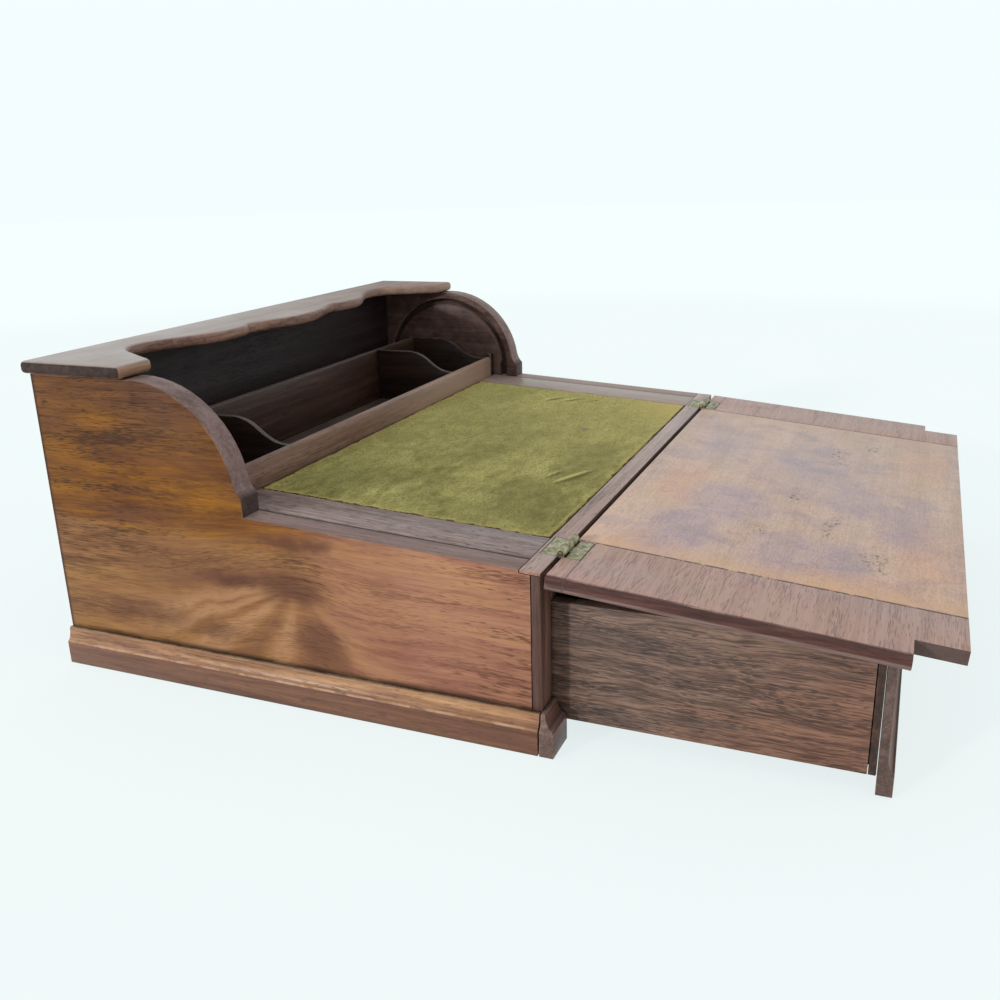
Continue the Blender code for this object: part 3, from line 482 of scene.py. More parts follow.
def top_wood():
    """Pale and glossier above towards the left end, the paleness a painted reflection; worn to tan
    at the front of the horns, dark along the ends.
    """
    material, tree, shader = new_material("top_wood_painted_reflection")
    vector = place(tree)
    x = axes(tree, vector)[0]
    value, mark = grain(tree, vector, 0, 2.2, streak=0.005, pore=(0.006, 0.0005))
    colour = shades(tree, value, TOP_TONES)
    colour = stain(tree, colour, mark, 0.4, tone(78, 58, 52))
    soft = mottle(tree, vector, 0.03, 3, 3.0, 0.6)
    # Paler and glossier towards the left end: the pale tone is a painted reflection of the bright
    # room.
    painted_reflection = step(tree, plus(tree, x, soft, 0.16), 0.30, -0.04)
    colour = stain(tree, colour, painted_reflection, 0.6, tone(182, 172, 166))
    rim_value, rim_mark = grain(tree, vector, 0, 8.0)
    edge = shades(tree, spread(tree, rim_value, 1.2), EDGE_TONES)
    edge = stain(tree, edge, rim_mark, 0.3, tone(60, 42, 37))
    side, ahead, tilt = facing(tree)
    rub = mottle(tree, vector, 0.02, 7, 2.0, 0.5)
    shoulder = times(tree, step(tree, tilt, 0.1, 0.5), step(tree, tilt, 0.98, 0.8))
    horn = times(tree, step(tree, absolute(tree, x), 0.128, 0.136), step(tree, ahead, -0.4, -0.8))
    edge = stain(tree, edge, horn, 0.8, shades(tree, rim_value, HORN_TONES))
    edge = stain(tree, edge, step(tree, x, 0.0, 0.1), 0.3, tone(172, 154, 144))
    worn = times(tree, shoulder, step(tree, rub, 0.46, 0.6))
    edge = stain(tree, edge, worn, 0.35, tone(178, 142, 120))
    end = step(tree, absolute(tree, side), 0.5, 0.8)
    end = times(tree, end, step(tree, absolute(tree, x), 0.172, 0.1745))
    edge = stain(tree, edge, end, 0.9, shades(tree, rim_value, END_TONES))
    colour = mix(tree, step(tree, tilt, 0.6, 0.97), edge, colour)
    rough = plus(tree, span(tree, rub, 0.46, 0.68), painted_reflection, -0.22)
    height = plus(tree, value, mark, -1.0)
    rough = highest(tree, rough, times(tree, end, 0.7))
    finish_shader(tree, shader, colour, rough, height, 0.00004, 0.25)
    return material


PLINTH_LIP = 0.0121  # where the face ends and the hollow begins


def plinth_wood():
    """Glossy wood: a tan hollow, lighter partly as painted light, over a redder face, with grime
    along the ledge.
    """
    material, tree, shader = new_material("plinth_wood")
    vector = place(tree)
    z = axes(tree, vector)[2]
    value, mark = grain(tree, vector, 1, 5.5, streak=0.004, pore=(0.006, 0.0005))
    # Lighter tan above the lip than on the face: partly the wood's colour, partly painted light on
    # the hollow, which curves up towards the light.
    upper = shades(tree, value, trio((130, 91, 62), (170, 127, 92), (196, 156, 118)))
    lower = shades(tree, value, trio((84, 54, 40), (113, 78, 60), (134, 95, 73)))
    colour = mix(tree, step(tree, z, PLINTH_LIP - 0.0008, PLINTH_LIP), lower, upper)
    cloud = mottle(tree, vector, (0.03, 0.05, 0.005), 12, 3.0, 0.6)
    colour = stain(tree, colour, step(tree, cloud, 0.52, 0.68), 0.55, tone(112, 74, 66))
    colour = stain(tree, colour, mark, 0.4, tone(64, 42, 34))
    rub = mottle(tree, vector, 0.012, 7, 3.0, 0.65)
    upward = step(tree, facing(tree)[2], 0.5, 0.95)
    grime = times(tree, upward, step(tree, z, PLINTH_LIP + 0.0044, PLINTH_LIP + 0.0057))
    dust = ramp(tree, rub, [(0.35, tone(62, 54, 42)), (0.65, tone(128, 114, 96))])
    colour = stain(tree, colour, grime, 0.85, dust)
    chips = step(tree, rub, 0.4, 0.62)
    # Painted shade: a darker line in the quirk just above the lip.
    quirk = times(tree, step(tree, z, PLINTH_LIP, PLINTH_LIP + 0.0003),
                  step(tree, z, PLINTH_LIP + 0.0025, PLINTH_LIP + 0.0009))
    colour = stain(tree, colour, quirk, 0.25, tone(88, 60, 47))
    # Pale line along the lip and the edges: wear, and on the lip a painted highlight too.
    lip = times(tree, step(tree, z, PLINTH_LIP - 0.0009, PLINTH_LIP - 0.0005),
                step(tree, z, PLINTH_LIP + 0.0003, PLINTH_LIP))
    lip = highest(tree, lip, edges(tree, 0.0008))
    colour = stain(tree, colour, lip, 0.55, tone(210, 172, 146), chips)
    # Painted shade with grime where other parts come close.
    colour = stain(tree, colour, crevice(tree, 0.002), 0.7, tone(34, 27, 21))
    height = plus(tree, times(tree, value, 0.5), mark, -1.0)
    finish_shader(tree, shader, colour, span(tree, rub, 0.24, 0.46), height, 0.00005, 0.3)
    return material


def flap_wood():
    """Bare panel with ink that has soaked in, old glue and scratches."""
    material, tree, shader = new_material("stained_flap_wood")
    vector = place(tree)
    x = axes(tree, vector)[0]
    value, mark = grain(tree, vector, 0, 3.4, streak=0.010, pore=(0.008, 0.0005))
    soft = mottle(tree, vector, 0.011, 2, 4.0, 0.65)
    bent = bend(tree, vector, 0.018, 0.011)
    blush = mottle(tree, bent, 0.026, 17, 4.0, 0.65)
    colour = ramp(tree, blush, [(0.36, tone(188, 165, 157)), (0.46, tone(202, 173, 160)),
                                (0.54, tone(212, 182, 163)), (0.64, tone(206, 180, 157))])
    light = ramp(tree, value, [(0.36, tone(236, 233, 232)), (0.56, tone(255, 255, 255))])
    colour = mix(tree, 1.0, colour, light, "MULTIPLY")
    warm = patches(tree, bent, (
        (-0.126, -0.160, 0.077, 0.030, 0.040, 0.06), (-0.122, -0.245, 0.070, 0.024, 0.060, 0.06),
        (-0.030, -0.152, 0.077, 0.050, 0.020, 0.06), (0.075, -0.266, 0.069, 0.070, 0.024, 0.06),
        (-0.070, -0.270, 0.069, 0.070, 0.018, 0.06)))
    warm = fade(tree, warm, 0.65, span(tree, soft, 0.3, 1.2))
    colour = mix(tree, warm, colour, tone(214, 166, 130))
    ink = patches(tree, bent, (
        (-0.096, -0.166, 0.077, 0.060, 0.034, 0.09), (-0.048, -0.180, 0.077, 0.056, 0.032, 0.09),
        (0.036, -0.208, 0.073, 0.075, 0.034, 0.09), (-0.010, -0.234, 0.071, 0.056, 0.026, 0.09),
        (-0.038, -0.262, 0.069, 0.048, 0.026, 0.09), (-0.098, -0.222, 0.071, 0.038, 0.044, 0.09),
        (0.052, -0.160, 0.077, 0.054, 0.026, 0.09)))
    ink = times(tree, ink, span(tree, blush, 1.4, 0.0))
    colour = stain(tree, colour, ink, 0.62, tone(156, 145, 164))
    grey = step(tree, mottle(tree, bent, 0.02, 15, 3.0, 0.6), 0.5, 0.66)
    colour = stain(tree, colour, grey, 0.18, tone(162, 142, 130))
    colour = stain(tree, colour, mark, 0.14, tone(122, 94, 80))
    tooth = mottle(tree, vector, (0.0024, 0.0009, 0.0024), 41, 3.0, 0.7)
    light = ramp(tree, tooth, [(0.34, tone(232, 227, 224)), (0.5, tone(250, 248, 247)),
                               (0.64, tone(255, 255, 255))])
    colour = mix(tree, 1.0, colour, light, "MULTIPLY")
    glue = patches(tree, bent, (
        (-0.022, -0.208, 0.073, 0.013, 0.007, 0.05), (0.066, -0.222, 0.072, 0.026, 0.007, 0.05),
        (-0.090, -0.250, 0.070, 0.016, 0.009, 0.05), (-0.057, -0.226, 0.072, 0.024, 0.007, 0.05),
        (0.091, -0.237, 0.071, 0.014, 0.007, 0.05), (-0.076, -0.199, 0.074, 0.010, 0.005, 0.05)))
    grit = step(tree, mottle(tree, vector, 0.0022, 4, 3.0, 0.7), 0.52, 0.62)
    glue = times(tree, glue, grit)
    colour = stain(tree, colour, glue, 1.0, tone(102, 85, 38))
    fleck = step(tree, mottle(tree, vector, 0.0016, 24, 2.0, 0.6), 0.66, 0.74)
    colour = stain(tree, colour, fleck, 0.4, tone(120, 92, 74))
    scratch = mottle(tree, vector, (0.0006, 0.014, 0.014), 13, 1.0, turn=(0, 0, 0.5))
    scratch = times(tree, step(tree, scratch, 0.68, 0.74), step(tree, soft, 0.5, 0.62))
    colour = stain(tree, colour, scratch, 0.45, tone(124, 98, 84))
    near = step(tree, absolute(tree, x), 0.112, 0.128)
    colour = stain(tree, colour, near, 0.35, tone(206, 166, 122), span(tree, soft, 0.2, 1.4))
    seam = step(tree, absolute(tree, x), 0.1293, 0.1303)
    ragged = step(tree, mottle(tree, vector, 0.006, 21, 3.0, 0.7), 0.36, 0.5)
    colour = stain(tree, colour, times(tree, seam, ragged), 0.85, tone(62, 42, 32))
    under = step(tree, facing(tree)[2], -0.6, -0.9)
    polished = stain(tree, tinted(tree, value, tone(132, 92, 70)), mark, 0.5, tone(52, 34, 27))
    colour = mix(tree, under, colour, polished)
    glue = times(tree, glue, less(tree, 1.0, under))
    height = plus(tree, less(tree, soft, scratch), glue, 0.9)
    finish_shader(tree, shader, colour, span(tree, soft, 0.34, 0.58), height, 0.00008, 0.5)
    return material


NOSING = 0.1714  # where the cleat's dark nosing begins
SCORED_LINE = -0.1372


def cleat_wood():
    """Pinkish wood with pores across the cleat, a scored line by the hinge and a dark nosing."""
    material, tree, shader = new_material("cleat_wood")
    vector = place(tree)
    x, y = axes(tree, vector)[:2]
    value, mark = grain(tree, vector, 0, 1.1, streak=0.004, pore=(0.007, 0.00045), crowding=0.5)
    colour = shades(tree, spread(tree, value, 0.8), CLEAT_TONES)
    soft = mottle(tree, vector, 0.03, 4, 3.0, 0.6)
    colour = stain(tree, colour, step(tree, soft, 0.42, 0.66), 0.3, tone(184, 150, 128))
    colour = stain(tree, colour, mark, 0.45, tone(98, 72, 68))
    out = absolute(tree, x)
    side, _, tilt = facing(tree)
    nose_value, nose_mark = grain(tree, vector, 1, 5.8, streak=0.002, pore=(0.004, 0.0005))
    nose = shades(tree, nose_value, trio((54, 31, 27), (78, 47, 41), (102, 66, 58)))
    nose = stain(tree, nose, nose_mark, 0.4, tone(50, 30, 27))
    below = shades(tree, nose_value, trio((92, 70, 66), (120, 96, 90), (140, 116, 110)))
    nose = mix(tree, step(tree, tilt, 0.25, -0.15), nose, below)
    ragged = plus(tree, out, less(tree, nose_value, 0.5), 0.004)
    colour = mix(tree, step(tree, ragged, NOSING, NOSING + 0.0014), colour, nose)
    side = absolute(tree, side)
    notch = times(tree, step(tree, side, 0.6, 0.9), step(tree, out, NOSING - 0.0002,
                                                         NOSING - 0.001))
    colour = stain(tree, colour, notch, 0.85, tone(58, 44, 45))
    score = absolute(tree, less(tree, y, SCORED_LINE))
    score = times(tree, step(tree, score, 0.0006, 0.0002), step(tree, out, 0.131, 0.132))
    colour = stain(tree, colour, score, 0.6, tone(84, 60, 58))
    # Painted shade with grime where other parts come close.
    colour = stain(tree, colour, crevice(tree, 0.002), 0.5, tone(30, 22, 20))
    height = plus(tree, less(tree, value, score), mark, -1.0)
    rub = mottle(tree, vector, 0.02, 7, 3.0, 0.6)
    finish_shader(tree, shader, colour, span(tree, rub, 0.32, 0.52), height, 0.00006, 0.26)
    return material


def drawer_wood():
    """Bare walnut: short dark dashes, greyer above and behind, redder below and in front."""
    material, tree, shader = new_material("drawer_walnut_wood")
    vector = place(tree)
    y, z = axes(tree, vector)[1:]
    run = bend(tree, vector, 0.03, 0.0018, 2)
    value, mark = grain(tree, run, 1, 9.3, streak=0.004, pore=(0.005, 0.0004), crowding=0.8,
                        shares=(0.26, 0.26, 0.48))
    hue = mottle(tree, run, (0.05, 0.05, 0.0045), 19, 3.0, 0.6)
    lively = spread(tree, value, 1.6)
    grey = shades(tree, lively, DRAWER_TONES)
    red = shades(tree, lively, trio((79, 52, 40), (115, 79, 63), (137, 99, 79)))
    below = plus(tree, y, z, 1.3)
    below = plus(tree, below, hue, 0.10)
    colour = mix(tree, step(tree, below, -0.07, -0.18), grey, red)
    band = mottle(tree, run, (0.05, 0.07, 0.008), 31, 3.0, 0.5)
    colour = stain(tree, colour, step(tree, band, 0.54, 0.68), 0.45, tone(66, 53, 50))
    thin = mottle(tree, run, (0.001, 0.010, 0.0007), 37, 2.0, 0.6)
    colour = stain(tree, colour, step(tree, thin, 0.58, 0.68), 0.4, tone(56, 43, 40))
    colour = stain(tree, colour, mark, 0.68, tone(44, 33, 29))
    # Worn edges, and painted shade with grime in the corners.
    colour = weather(tree, vector, colour, tone(156, 130, 116), 0.4, dirt=0.6)
    rub = mottle(tree, vector, 0.02, 7, 3.0, 0.6)
    height = plus(tree, value, mark, -1.0)
    finish_shader(tree, shader, colour, span(tree, rub, 0.44, 0.64), height, 0.00007, 0.4)
    return material


def velvet_cloth():
    """Pile rubbed in patches, with a sheen and a yellowed, frayed border."""
    material, tree, shader = new_material("worn_velvet")
    vector = place(tree)
    x, y, z = axes(tree, vector)
    bent = bend(tree, vector, 0.012, 0.004)
    patch = mottle(tree, bent, 0.034, 1, 4.0, 0.62)
    brush = mottle(tree, bent, (0.012, 0.006, 0.012), 2, 4.0, 0.7, turn=(0, 0, 0.6))
    value = plus(tree, times(tree, patch, 0.4), brush, 0.6)
    colour = ramp(tree, value, [(0.36, tone(116, 110, 54)), (0.5, tone(152, 147, 83)),
                                (0.62, tone(180, 173, 107))])
    # Lighter towards the far right: partly the cloth's own tone, partly painted sheen.
    light = step(tree, plus(tree, x, y, 0.5), -0.13, 0.06)
    colour = stain(tree, colour, light, 0.5, tone(182, 175, 106))
    tuft = mottle(tree, vector, 0.0011, 3, 3.0, 0.7)
    colour = mix(tree, step(tree, tuft, 0.52, 0.3), colour, tone(96, 91, 42))
    bald = step(tree, mottle(tree, bent, 0.009, 9, 4.0, 0.7), 0.58, 0.7)
    colour = stain(tree, colour, bald, 0.22, tone(96, 92, 52))
    shadow = patches(tree, bent, (
        (-0.098, -0.091, 0.083, 0.055, 0.036, 0.05), (-0.100, 0.004, 0.087, 0.035, 0.03, 0.05),
        (-0.020, -0.100, 0.083, 0.06, 0.022, 0.05)))
    colour = stain(tree, colour, shadow, 0.45, tone(100, 95, 48))
    corner = blob(tree, bent, (0.140, -0.120, 0.082), (0.075, 0.060, 0.05))
    colour = stain(tree, colour, corner, 0.5, tone(206, 184, 112))
    painted_shade_slope = facing(tree)[1]
    rise = plus(tree, z, y, -math.tan(WRITING_SLOPE))
    rise = less(tree, rise, WRITING_FRONT_HEIGHT - CASE_FRONT * math.tan(WRITING_SLOPE))
    # Painted light on the creases: shade on the slopes that face the front, partly pile that
    # leans, and a painted highlight along the crests.
    colour = stain(tree, colour, step(tree, painted_shade_slope, -0.13, -0.32), 0.7, tone(82, 76, 36))
    colour = stain(tree, colour, step(tree, rise, 0.0003, 0.0007), 0.7, tone(206, 198, 128))
    low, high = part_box("writing_velvet")
    middle, half = (low + high) / 2, (high - low) / 2
    across = less(tree, absolute(tree, x), half.x)
    endways = less(tree, absolute(tree, less(tree, y, middle.y)), half.y)
    far_out = highest(tree, across, endways)
    far_out = plus(tree, far_out, less(tree, brush, 0.5), 0.008)
    fray = fade(tree, step(tree, far_out, -0.0045, -0.0012), 0.6, span(tree, tuft, 0.0, 1.6))
    colour = mix(tree, fray, colour, tone(188, 168, 102))
    # Thin dark line at the very border: painted shade in the gap beside the cloth, with dirt.
    colour = stain(tree, colour, step(tree, far_out, -0.0011, -0.0004), 0.8, tone(40, 33, 22))
    spots = patches(tree, vector, (
        (0.044, -0.076, 0.083, 0.006, 0.004, 0.02), (-0.037, -0.088, 0.083, 0.004, 0.003, 0.02),
        (-0.011, -0.089, 0.083, 0.003, 0.003, 0.02)))
    colour = stain(tree, colour, spots, 0.5, tone(98, 100, 100))
    nap = plus(tree, tuft, brush, 1.5)
    finish_shader(tree, shader, colour, span(tree, patch, 0.8, 1.0), nap, 0.0006, 0.15)
    shader.inputs["Sheen Weight"].default_value = 0.2
    shader.inputs["Sheen Roughness"].default_value = 0.5
    shader.inputs["Sheen Tint"].default_value = tone(214, 206, 160)
    return material


THREAD = 0.0009
CANVAS_RADIUS = 0.0425


def canvas_cloth():
    """Plain weave, threads across the curtain and round its turn."""
    material, tree, shader = new_material("backing_weave")
    vector = place(tree)
    x, y, z = axes(tree, vector)
    turn = maths(tree, "ARCTAN2", less(tree, z, ROLL_AXIS.z), less(tree, y, ROLL_AXIS.y))
    warp = maths(tree, "SINE", times(tree, x, 2 * math.pi / THREAD))
    weft = maths(tree, "SINE", times(tree, turn, 2 * math.pi * CANVAS_RADIUS / THREAD))
    weave = span(tree, times(tree, warp, weft), 0.5, 1.0)
    dirt = mottle(tree, vector, 0.02, 0, 3.0)
    colour = ramp(tree, dirt, [(0.35, tone(96, 82, 60)), (0.65, tone(134, 116, 88))])
    colour = mix(tree, span(tree, weave, 0.35, 0.0), colour, tone(60, 50, 38))
    finish_shader(tree, shader, colour, span(tree, dirt, 0.8, 0.95), weave, 0.0002, 0.2)
    return material


def brass():
    """Old brass: dull patches, scratches and brown tarnish."""
    material, tree, shader = new_material("aged_brass_metal")
    vector = place(tree)
    patch = mottle(tree, vector, 0.0035, 0, 4.0, 0.65)
    scratch = mottle(tree, vector, (0.006, 0.0002, 0.0002), 1, 1.0, turn=(0, 0, 0.4))
    colour = ramp(tree, patch, [(0.34, tone(104, 98, 72)), (0.5, tone(150, 145, 112)),
                                (0.64, tone(184, 179, 148))])
    colour = stain(tree, colour, step(tree, scratch, 0.62, 0.72), 0.5, tone(206, 200, 172))
    rim = edges(tree, 0.0005)
    colour = stain(tree, colour, rim, 0.55, tone(74, 64, 46))
    colour = stain(tree, colour, crevice(tree, 0.0015), 0.85, tone(34, 29, 22))
    finish_shader(tree, shader, colour, span(tree, patch, 0.6, 0.36), scratch, 0.00003)
    shader.inputs["Metallic"].default_value = 0.45
    return material


# Pieces

def smooth_by_angle():
    """Modifier group that shades smoothly over shallow edges and sharply over the rest."""
    group = bpy.data.node_groups.new("smooth_by_angle", "GeometryNodeTree")
    for way in ("INPUT", "OUTPUT"):
        group.interface.new_socket("Geometry", in_out=way, socket_type="NodeSocketGeometry")
    angle = put(group, "GeometryNodeInputMeshEdgeAngle")
    steep = put(group, "FunctionNodeCompare", {0: angle.outputs[0], 1: math.radians(24)},
                data_type="FLOAT", operation="GREATER_THAN")
    start = put(group, "NodeGroupInput")
    faces = put(group, "GeometryNodeSetShadeSmooth", {"Geometry": start.outputs[0]}, domain="FACE")
    inputs = {"Geometry": faces.outputs[0], "Selection": steep.outputs[0], "Shade Smooth": False}
    sharp = put(group, "GeometryNodeSetShadeSmooth", inputs, domain="EDGE")
    put(group, "NodeGroupOutput", {0: sharp.outputs[0]})
    return group


SMOOTH = smooth_by_angle()


def dress(name, material, easing):
    """Give a CAD node its finish and slightly eased edges."""
    obj = NODES[name]
    obj.data.materials.clear()
    obj.data.materials.append(material)
    weld = obj.modifiers.new("Weld", "WELD")
    weld.merge_threshold = 2e-6
    flat = obj.modifiers.new("Flat faces", "DECIMATE")
    flat.decimate_type = "DISSOLVE"
    flat.angle_limit = math.radians(0.5)
    if easing:
        bevel = obj.modifiers.new("Eased edges", "BEVEL")
        bevel.width = easing
        bevel.segments = 2
        bevel.limit_method = "ANGLE"
        bevel.angle_limit = math.radians(40)
    obj.modifiers.new("Smooth", "NODES").node_group = SMOOTH


def mesh_object(name, mesh, material):
    obj = bpy.data.objects.new(name, mesh)
    bpy.context.scene.collection.objects.link(obj)
    mesh.materials.append(material)
    return obj


def ridge(x, y, start, end, width, height):
    """Height of a crease between two points, at a place on the cloth."""
    along = Vector((end[0] - start[0], end[1] - start[1]))
    away = Vector((x - start[0], y - start[1]))
    t = min(1.0, max(0.0, away.dot(along) / along.length_squared))
    gap = (away - along * t).length
    return height * math.sin(math.pi * t) * math.exp(-((gap / width) ** 2))


CREASES = (
    ((-0.070, -0.090), (-0.026, -0.107), 0.0020, 0.0013),
    ((-0.062, -0.084), (-0.036, -0.092), 0.0016, 0.0010),
    ((0.098, -0.036), (0.124, -0.053), 0.0017, 0.0011),
    ((0.094, -0.026), (0.122, -0.040), 0.0015, 0.0010),
    ((0.104, -0.048), (0.124, -0.064), 0.0014, 0.0009),
    ((0.123, -0.014), (0.102, -0.034), 0.0014, 0.0009),
    ((-0.118, 0.016), (-0.080, 0.004), 0.0028, 0.0004),
)


def sheet_object(name, material, rows, columns, corner, thickness, offset):
    """Thin cloth of square faces; corner gives a place from a row and a column."""
    shape = bmesh.new()
    grid = [[shape.verts.new(corner(row, column)) for column in range(columns + 1)]
            for row in range(rows + 1)]
    for row in range(rows):
        for column in range(columns):
            shape.faces.new((grid[row][column], grid[row][column + 1],
                             grid[row + 1][column + 1], grid[row + 1][column]))
    mesh = bpy.data.meshes.new(name)
    shape.to_mesh(mesh)
    shape.free()
    mesh.shade_smooth()
    cloth = mesh_object(name, mesh, material)
    body = cloth.modifiers.new("Thickness", "SOLIDIFY")
    body.thickness = thickness
    body.offset = offset
    return cloth


VELVET_MARGIN = 0.0003
VELVET_CELL = 0.0015
VELVET_SINK = 0.0002
CURLED_BORDER = 0.004


def make_velvet(material):
    """The cloth as it lies now: cut a little crooked, puckered and creased."""
    low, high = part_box("writing_velvet")
    width = high.x - low.x - 2 * VELVET_MARGIN
    depth = high.y - low.y - 2 * VELVET_MARGIN
    columns, rows = round(width / VELVET_CELL), round(depth / VELVET_CELL)

    def corner(row, column):
        u, v = column / columns, row / rows
        x = low.x + VELVET_MARGIN + u * width
        y = low.y + VELVET_MARGIN + v * depth
        edge = min(u, 1 - u) * width, min(v, 1 - v) * depth
        ragged = noise.noise(Vector((x * 160, y * 160, 2))) * 0.0006
        if edge[0] < 1e-6:
            x += (0.0003 + abs(ragged)) * (1 if u < 0.5 else -1)
        if edge[1] < 1e-6:
            y += abs(ragged) * 0.7 * (1 if v < 0.5 else -1)
        pucker = noise.fractal(Vector((x * 28, y * 28, 0)), 1.0, 2.0, 3) * 0.00018
        lift = abs(noise.noise(Vector((x * 70, y * 70, 5)))) * 0.0005
        lift *= max(0.0, 1 - min(edge) / CURLED_BORDER)
        crease = sum(ridge(x, y, *c) for c in CREASES)
        surface = WRITING_FRONT_HEIGHT + (y - CASE_FRONT) * math.tan(WRITING_SLOPE)
        return x, y, surface - VELVET_SINK + pucker + lift + crease

    cloth = sheet_object("velvet_cloth", material, rows, columns, corner, 0.0006, -1)
    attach(cloth, "case")
    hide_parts("writing_velvet")


def make_canvas(material):
    """Strip glued behind the slats, slack by a hair between them."""
    low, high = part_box("tambour_canvas")
    co = [v.co for v in NODES["tambour_canvas"].data.vertices]
    polar = [math.atan2(p.z - ROLL_AXIS.z, p.y - ROLL_AXIS.y) for p in co]
    radius = sum((p - Vector((p.x, ROLL_AXIS.y, ROLL_AXIS.z))).length for p in co) / len(co)
    begin, end = min(polar), max(polar)
    rows, columns = 120, 24

    def corner(row, column):
        angle = begin + (end - begin) * row / rows
        x = low.x + (high.x - low.x) * column / columns
        slack = noise.noise(Vector((x * 30, angle * 6, 1))) * 0.0001
        reach = radius - 0.0001 + slack
        return x, ROLL_AXIS.y + reach * math.cos(angle), ROLL_AXIS.z + reach * math.sin(angle)

    strip = sheet_object("canvas_strip", material, rows, columns, corner, 0.0004, 0)
    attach(strip, "tambour")
    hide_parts("tambour_canvas")


SCREW_DEPTH = 0.0009


def screw_mesh():
    """Slotted head of a small countersunk screw, its face on the XY plane."""
    shape = bmesh.new()
    bmesh.ops.create_cone(shape, cap_ends=True, segments=28, radius1=0.0009, radius2=0.0016,
                          depth=SCREW_DEPTH)
    bmesh.ops.translate(shape, verts=shape.verts, vec=(0, 0, -SCREW_DEPTH / 2))
    rim = [e for e in shape.edges if all(v.co.z > -1e-6 for v in e.verts)]
    bmesh.ops.bevel(shape, geom=rim, offset=0.00018, segments=2, affect="EDGES")
    head = bpy.data.meshes.new("screw_blank")
    shape.to_mesh(head)
    shape.clear()
    bmesh.ops.create_cube(shape, size=1)
    bmesh.ops.transform(shape, verts=shape.verts,
                        matrix=Matrix.Diagonal((0.005, 0.0005, 0.0009, 1)))
    slot = bpy.data.meshes.new("screw_slot")
    shape.to_mesh(slot)
    shape.free()
    blank = bpy.data.objects.new("screw_blank", head)
    cutter = bpy.data.objects.new("screw_slot", slot)
    for obj in (blank, cutter):
        bpy.context.scene.collection.objects.link(obj)
    boolean = blank.modifiers.new("Slot", "BOOLEAN")
    boolean.operation = "DIFFERENCE"
    boolean.object = cutter
    boolean.solver = "EXACT"
    blank.modifiers.new("Smooth", "NODES").node_group = SMOOTH
    graph = bpy.context.evaluated_depsgraph_get()
    mesh = bpy.data.meshes.new_from_object(blank.evaluated_get(graph))
    for obj in (blank, cutter):
        bpy.data.objects.remove(obj, do_unlink=True)
    return mesh


HINGE_MIDDLE = 0.142
SCREW_APART = 0.0056
SCREW_OUT = 0.0058
SCREW_PROUD = 0.00012


def make_screws(material):
    """Two screws in each hinge leaf."""
    mesh = screw_mesh()
    mesh.materials.append(material)
    turns = random.Random(4)
    for side, hand in (("left", -1), ("right", 1)):
        for body, way, tilt in (("case", 1, WRITING_SLOPE), ("flap", -1, FLAP_DROOP)):
            turn = Matrix.Rotation(tilt, 4, "X")
            for number, offset in ((1, -SCREW_APART), (2, SCREW_APART)):
                obj = bpy.data.objects.new(f"hinge_screw_{side}_{body}_{number}", mesh)
                bpy.context.scene.collection.objects.link(obj)
                across = hand * HINGE_MIDDLE + offset
                spot = Vector((across, way * SCREW_OUT, SCREW_PROUD - PIN_RISE))
                spin = Matrix.Rotation(turns.uniform(0, math.pi), 4, "Z")
                obj.matrix_world = (Matrix.Translation(FLAP_AXIS) @ turn
                                    @ Matrix.Translation(spot) @ spin)
                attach(obj, body)


# Light, floor and camera

def seen(tree):
    """1 for rays that show a surface itself, 0 for those that only light other things."""
    rays = put(tree, "ShaderNodeLightPath").outputs
    return highest(tree, rays["Is Camera Ray"], rays["Is Glossy Ray"], rays["Is Transmission Ray"])


def make_world():
    world = bpy.data.worlds.new("soft_room")
    world.use_nodes = True
    bpy.context.scene.world = world
    tree = world.node_tree
    background = tree.nodes["Background"]
    shown = seen(tree)
    cool = mix(tree, shown, (1.0, 1.0, 1.0, 1.0), (0.9, 0.985, 1.0, 1.0))
    tree.links.new(cool, background.inputs["Color"])
    tree.links.new(span(tree, shown, 0.74, 1.0), background.inputs["Strength"])


def make_floor():
    """Pale sheet that keeps the object's shadow and fades into the room."""
    mesh = bpy.data.meshes.new("floor")
    shape = bmesh.new()
    bmesh.ops.create_circle(shape, cap_ends=True, segments=96, radius=6.0)
    shape.to_mesh(mesh)
    shape.free()
    material, tree, shader = new_material("pale_floor")
    vector = place(tree)
    far = vectors(tree, "LENGTH", vector)["Value"]
    tint = mottle(tree, vector, 0.25, 0, 2.0)
    colour = ramp(tree, tint, [(0.3, (0.9, 0.93, 0.93, 1)), (0.7, (0.95, 0.96, 0.955, 1))])
    tree.links.new(colour, shader.inputs["Base Color"])
    shader.inputs["Roughness"].default_value = 0.9
    glow = put(tree, "ShaderNodeEmission", {"Color": (0.91, 1.0, 1.0, 1.0)})
    pale = highest(tree, times(tree, seen(tree), 0.8), step(tree, far, 0.35, 1.6))
    blend = put(tree, "ShaderNodeMixShader", {0: pale})
    tree.links.new(shader.outputs[0], blend.inputs[1])
    tree.links.new(glow.outputs[0], blend.inputs[2])
    tree.links.new(blend.outputs[0], tree.nodes["Material Output"].inputs["Surface"])
    floor = mesh_object("floor", mesh, material)
    floor.location.z = -0.0002


def make_sun():
    sun = bpy.data.lights.new("window", "SUN")
    sun.energy = 1.5
    sun.angle = math.radians(4)
    sun.color = (1.0, 0.985, 0.95)
    lamp = bpy.data.objects.new("window", sun)
    bpy.context.scene.collection.objects.link(lamp)
    turn = math.radians(30)
    towards = Vector((math.cos(turn), -math.sin(turn), -0.28))
    lamp.rotation_euler = towards.to_track_quat("-Z", "Y").to_euler()


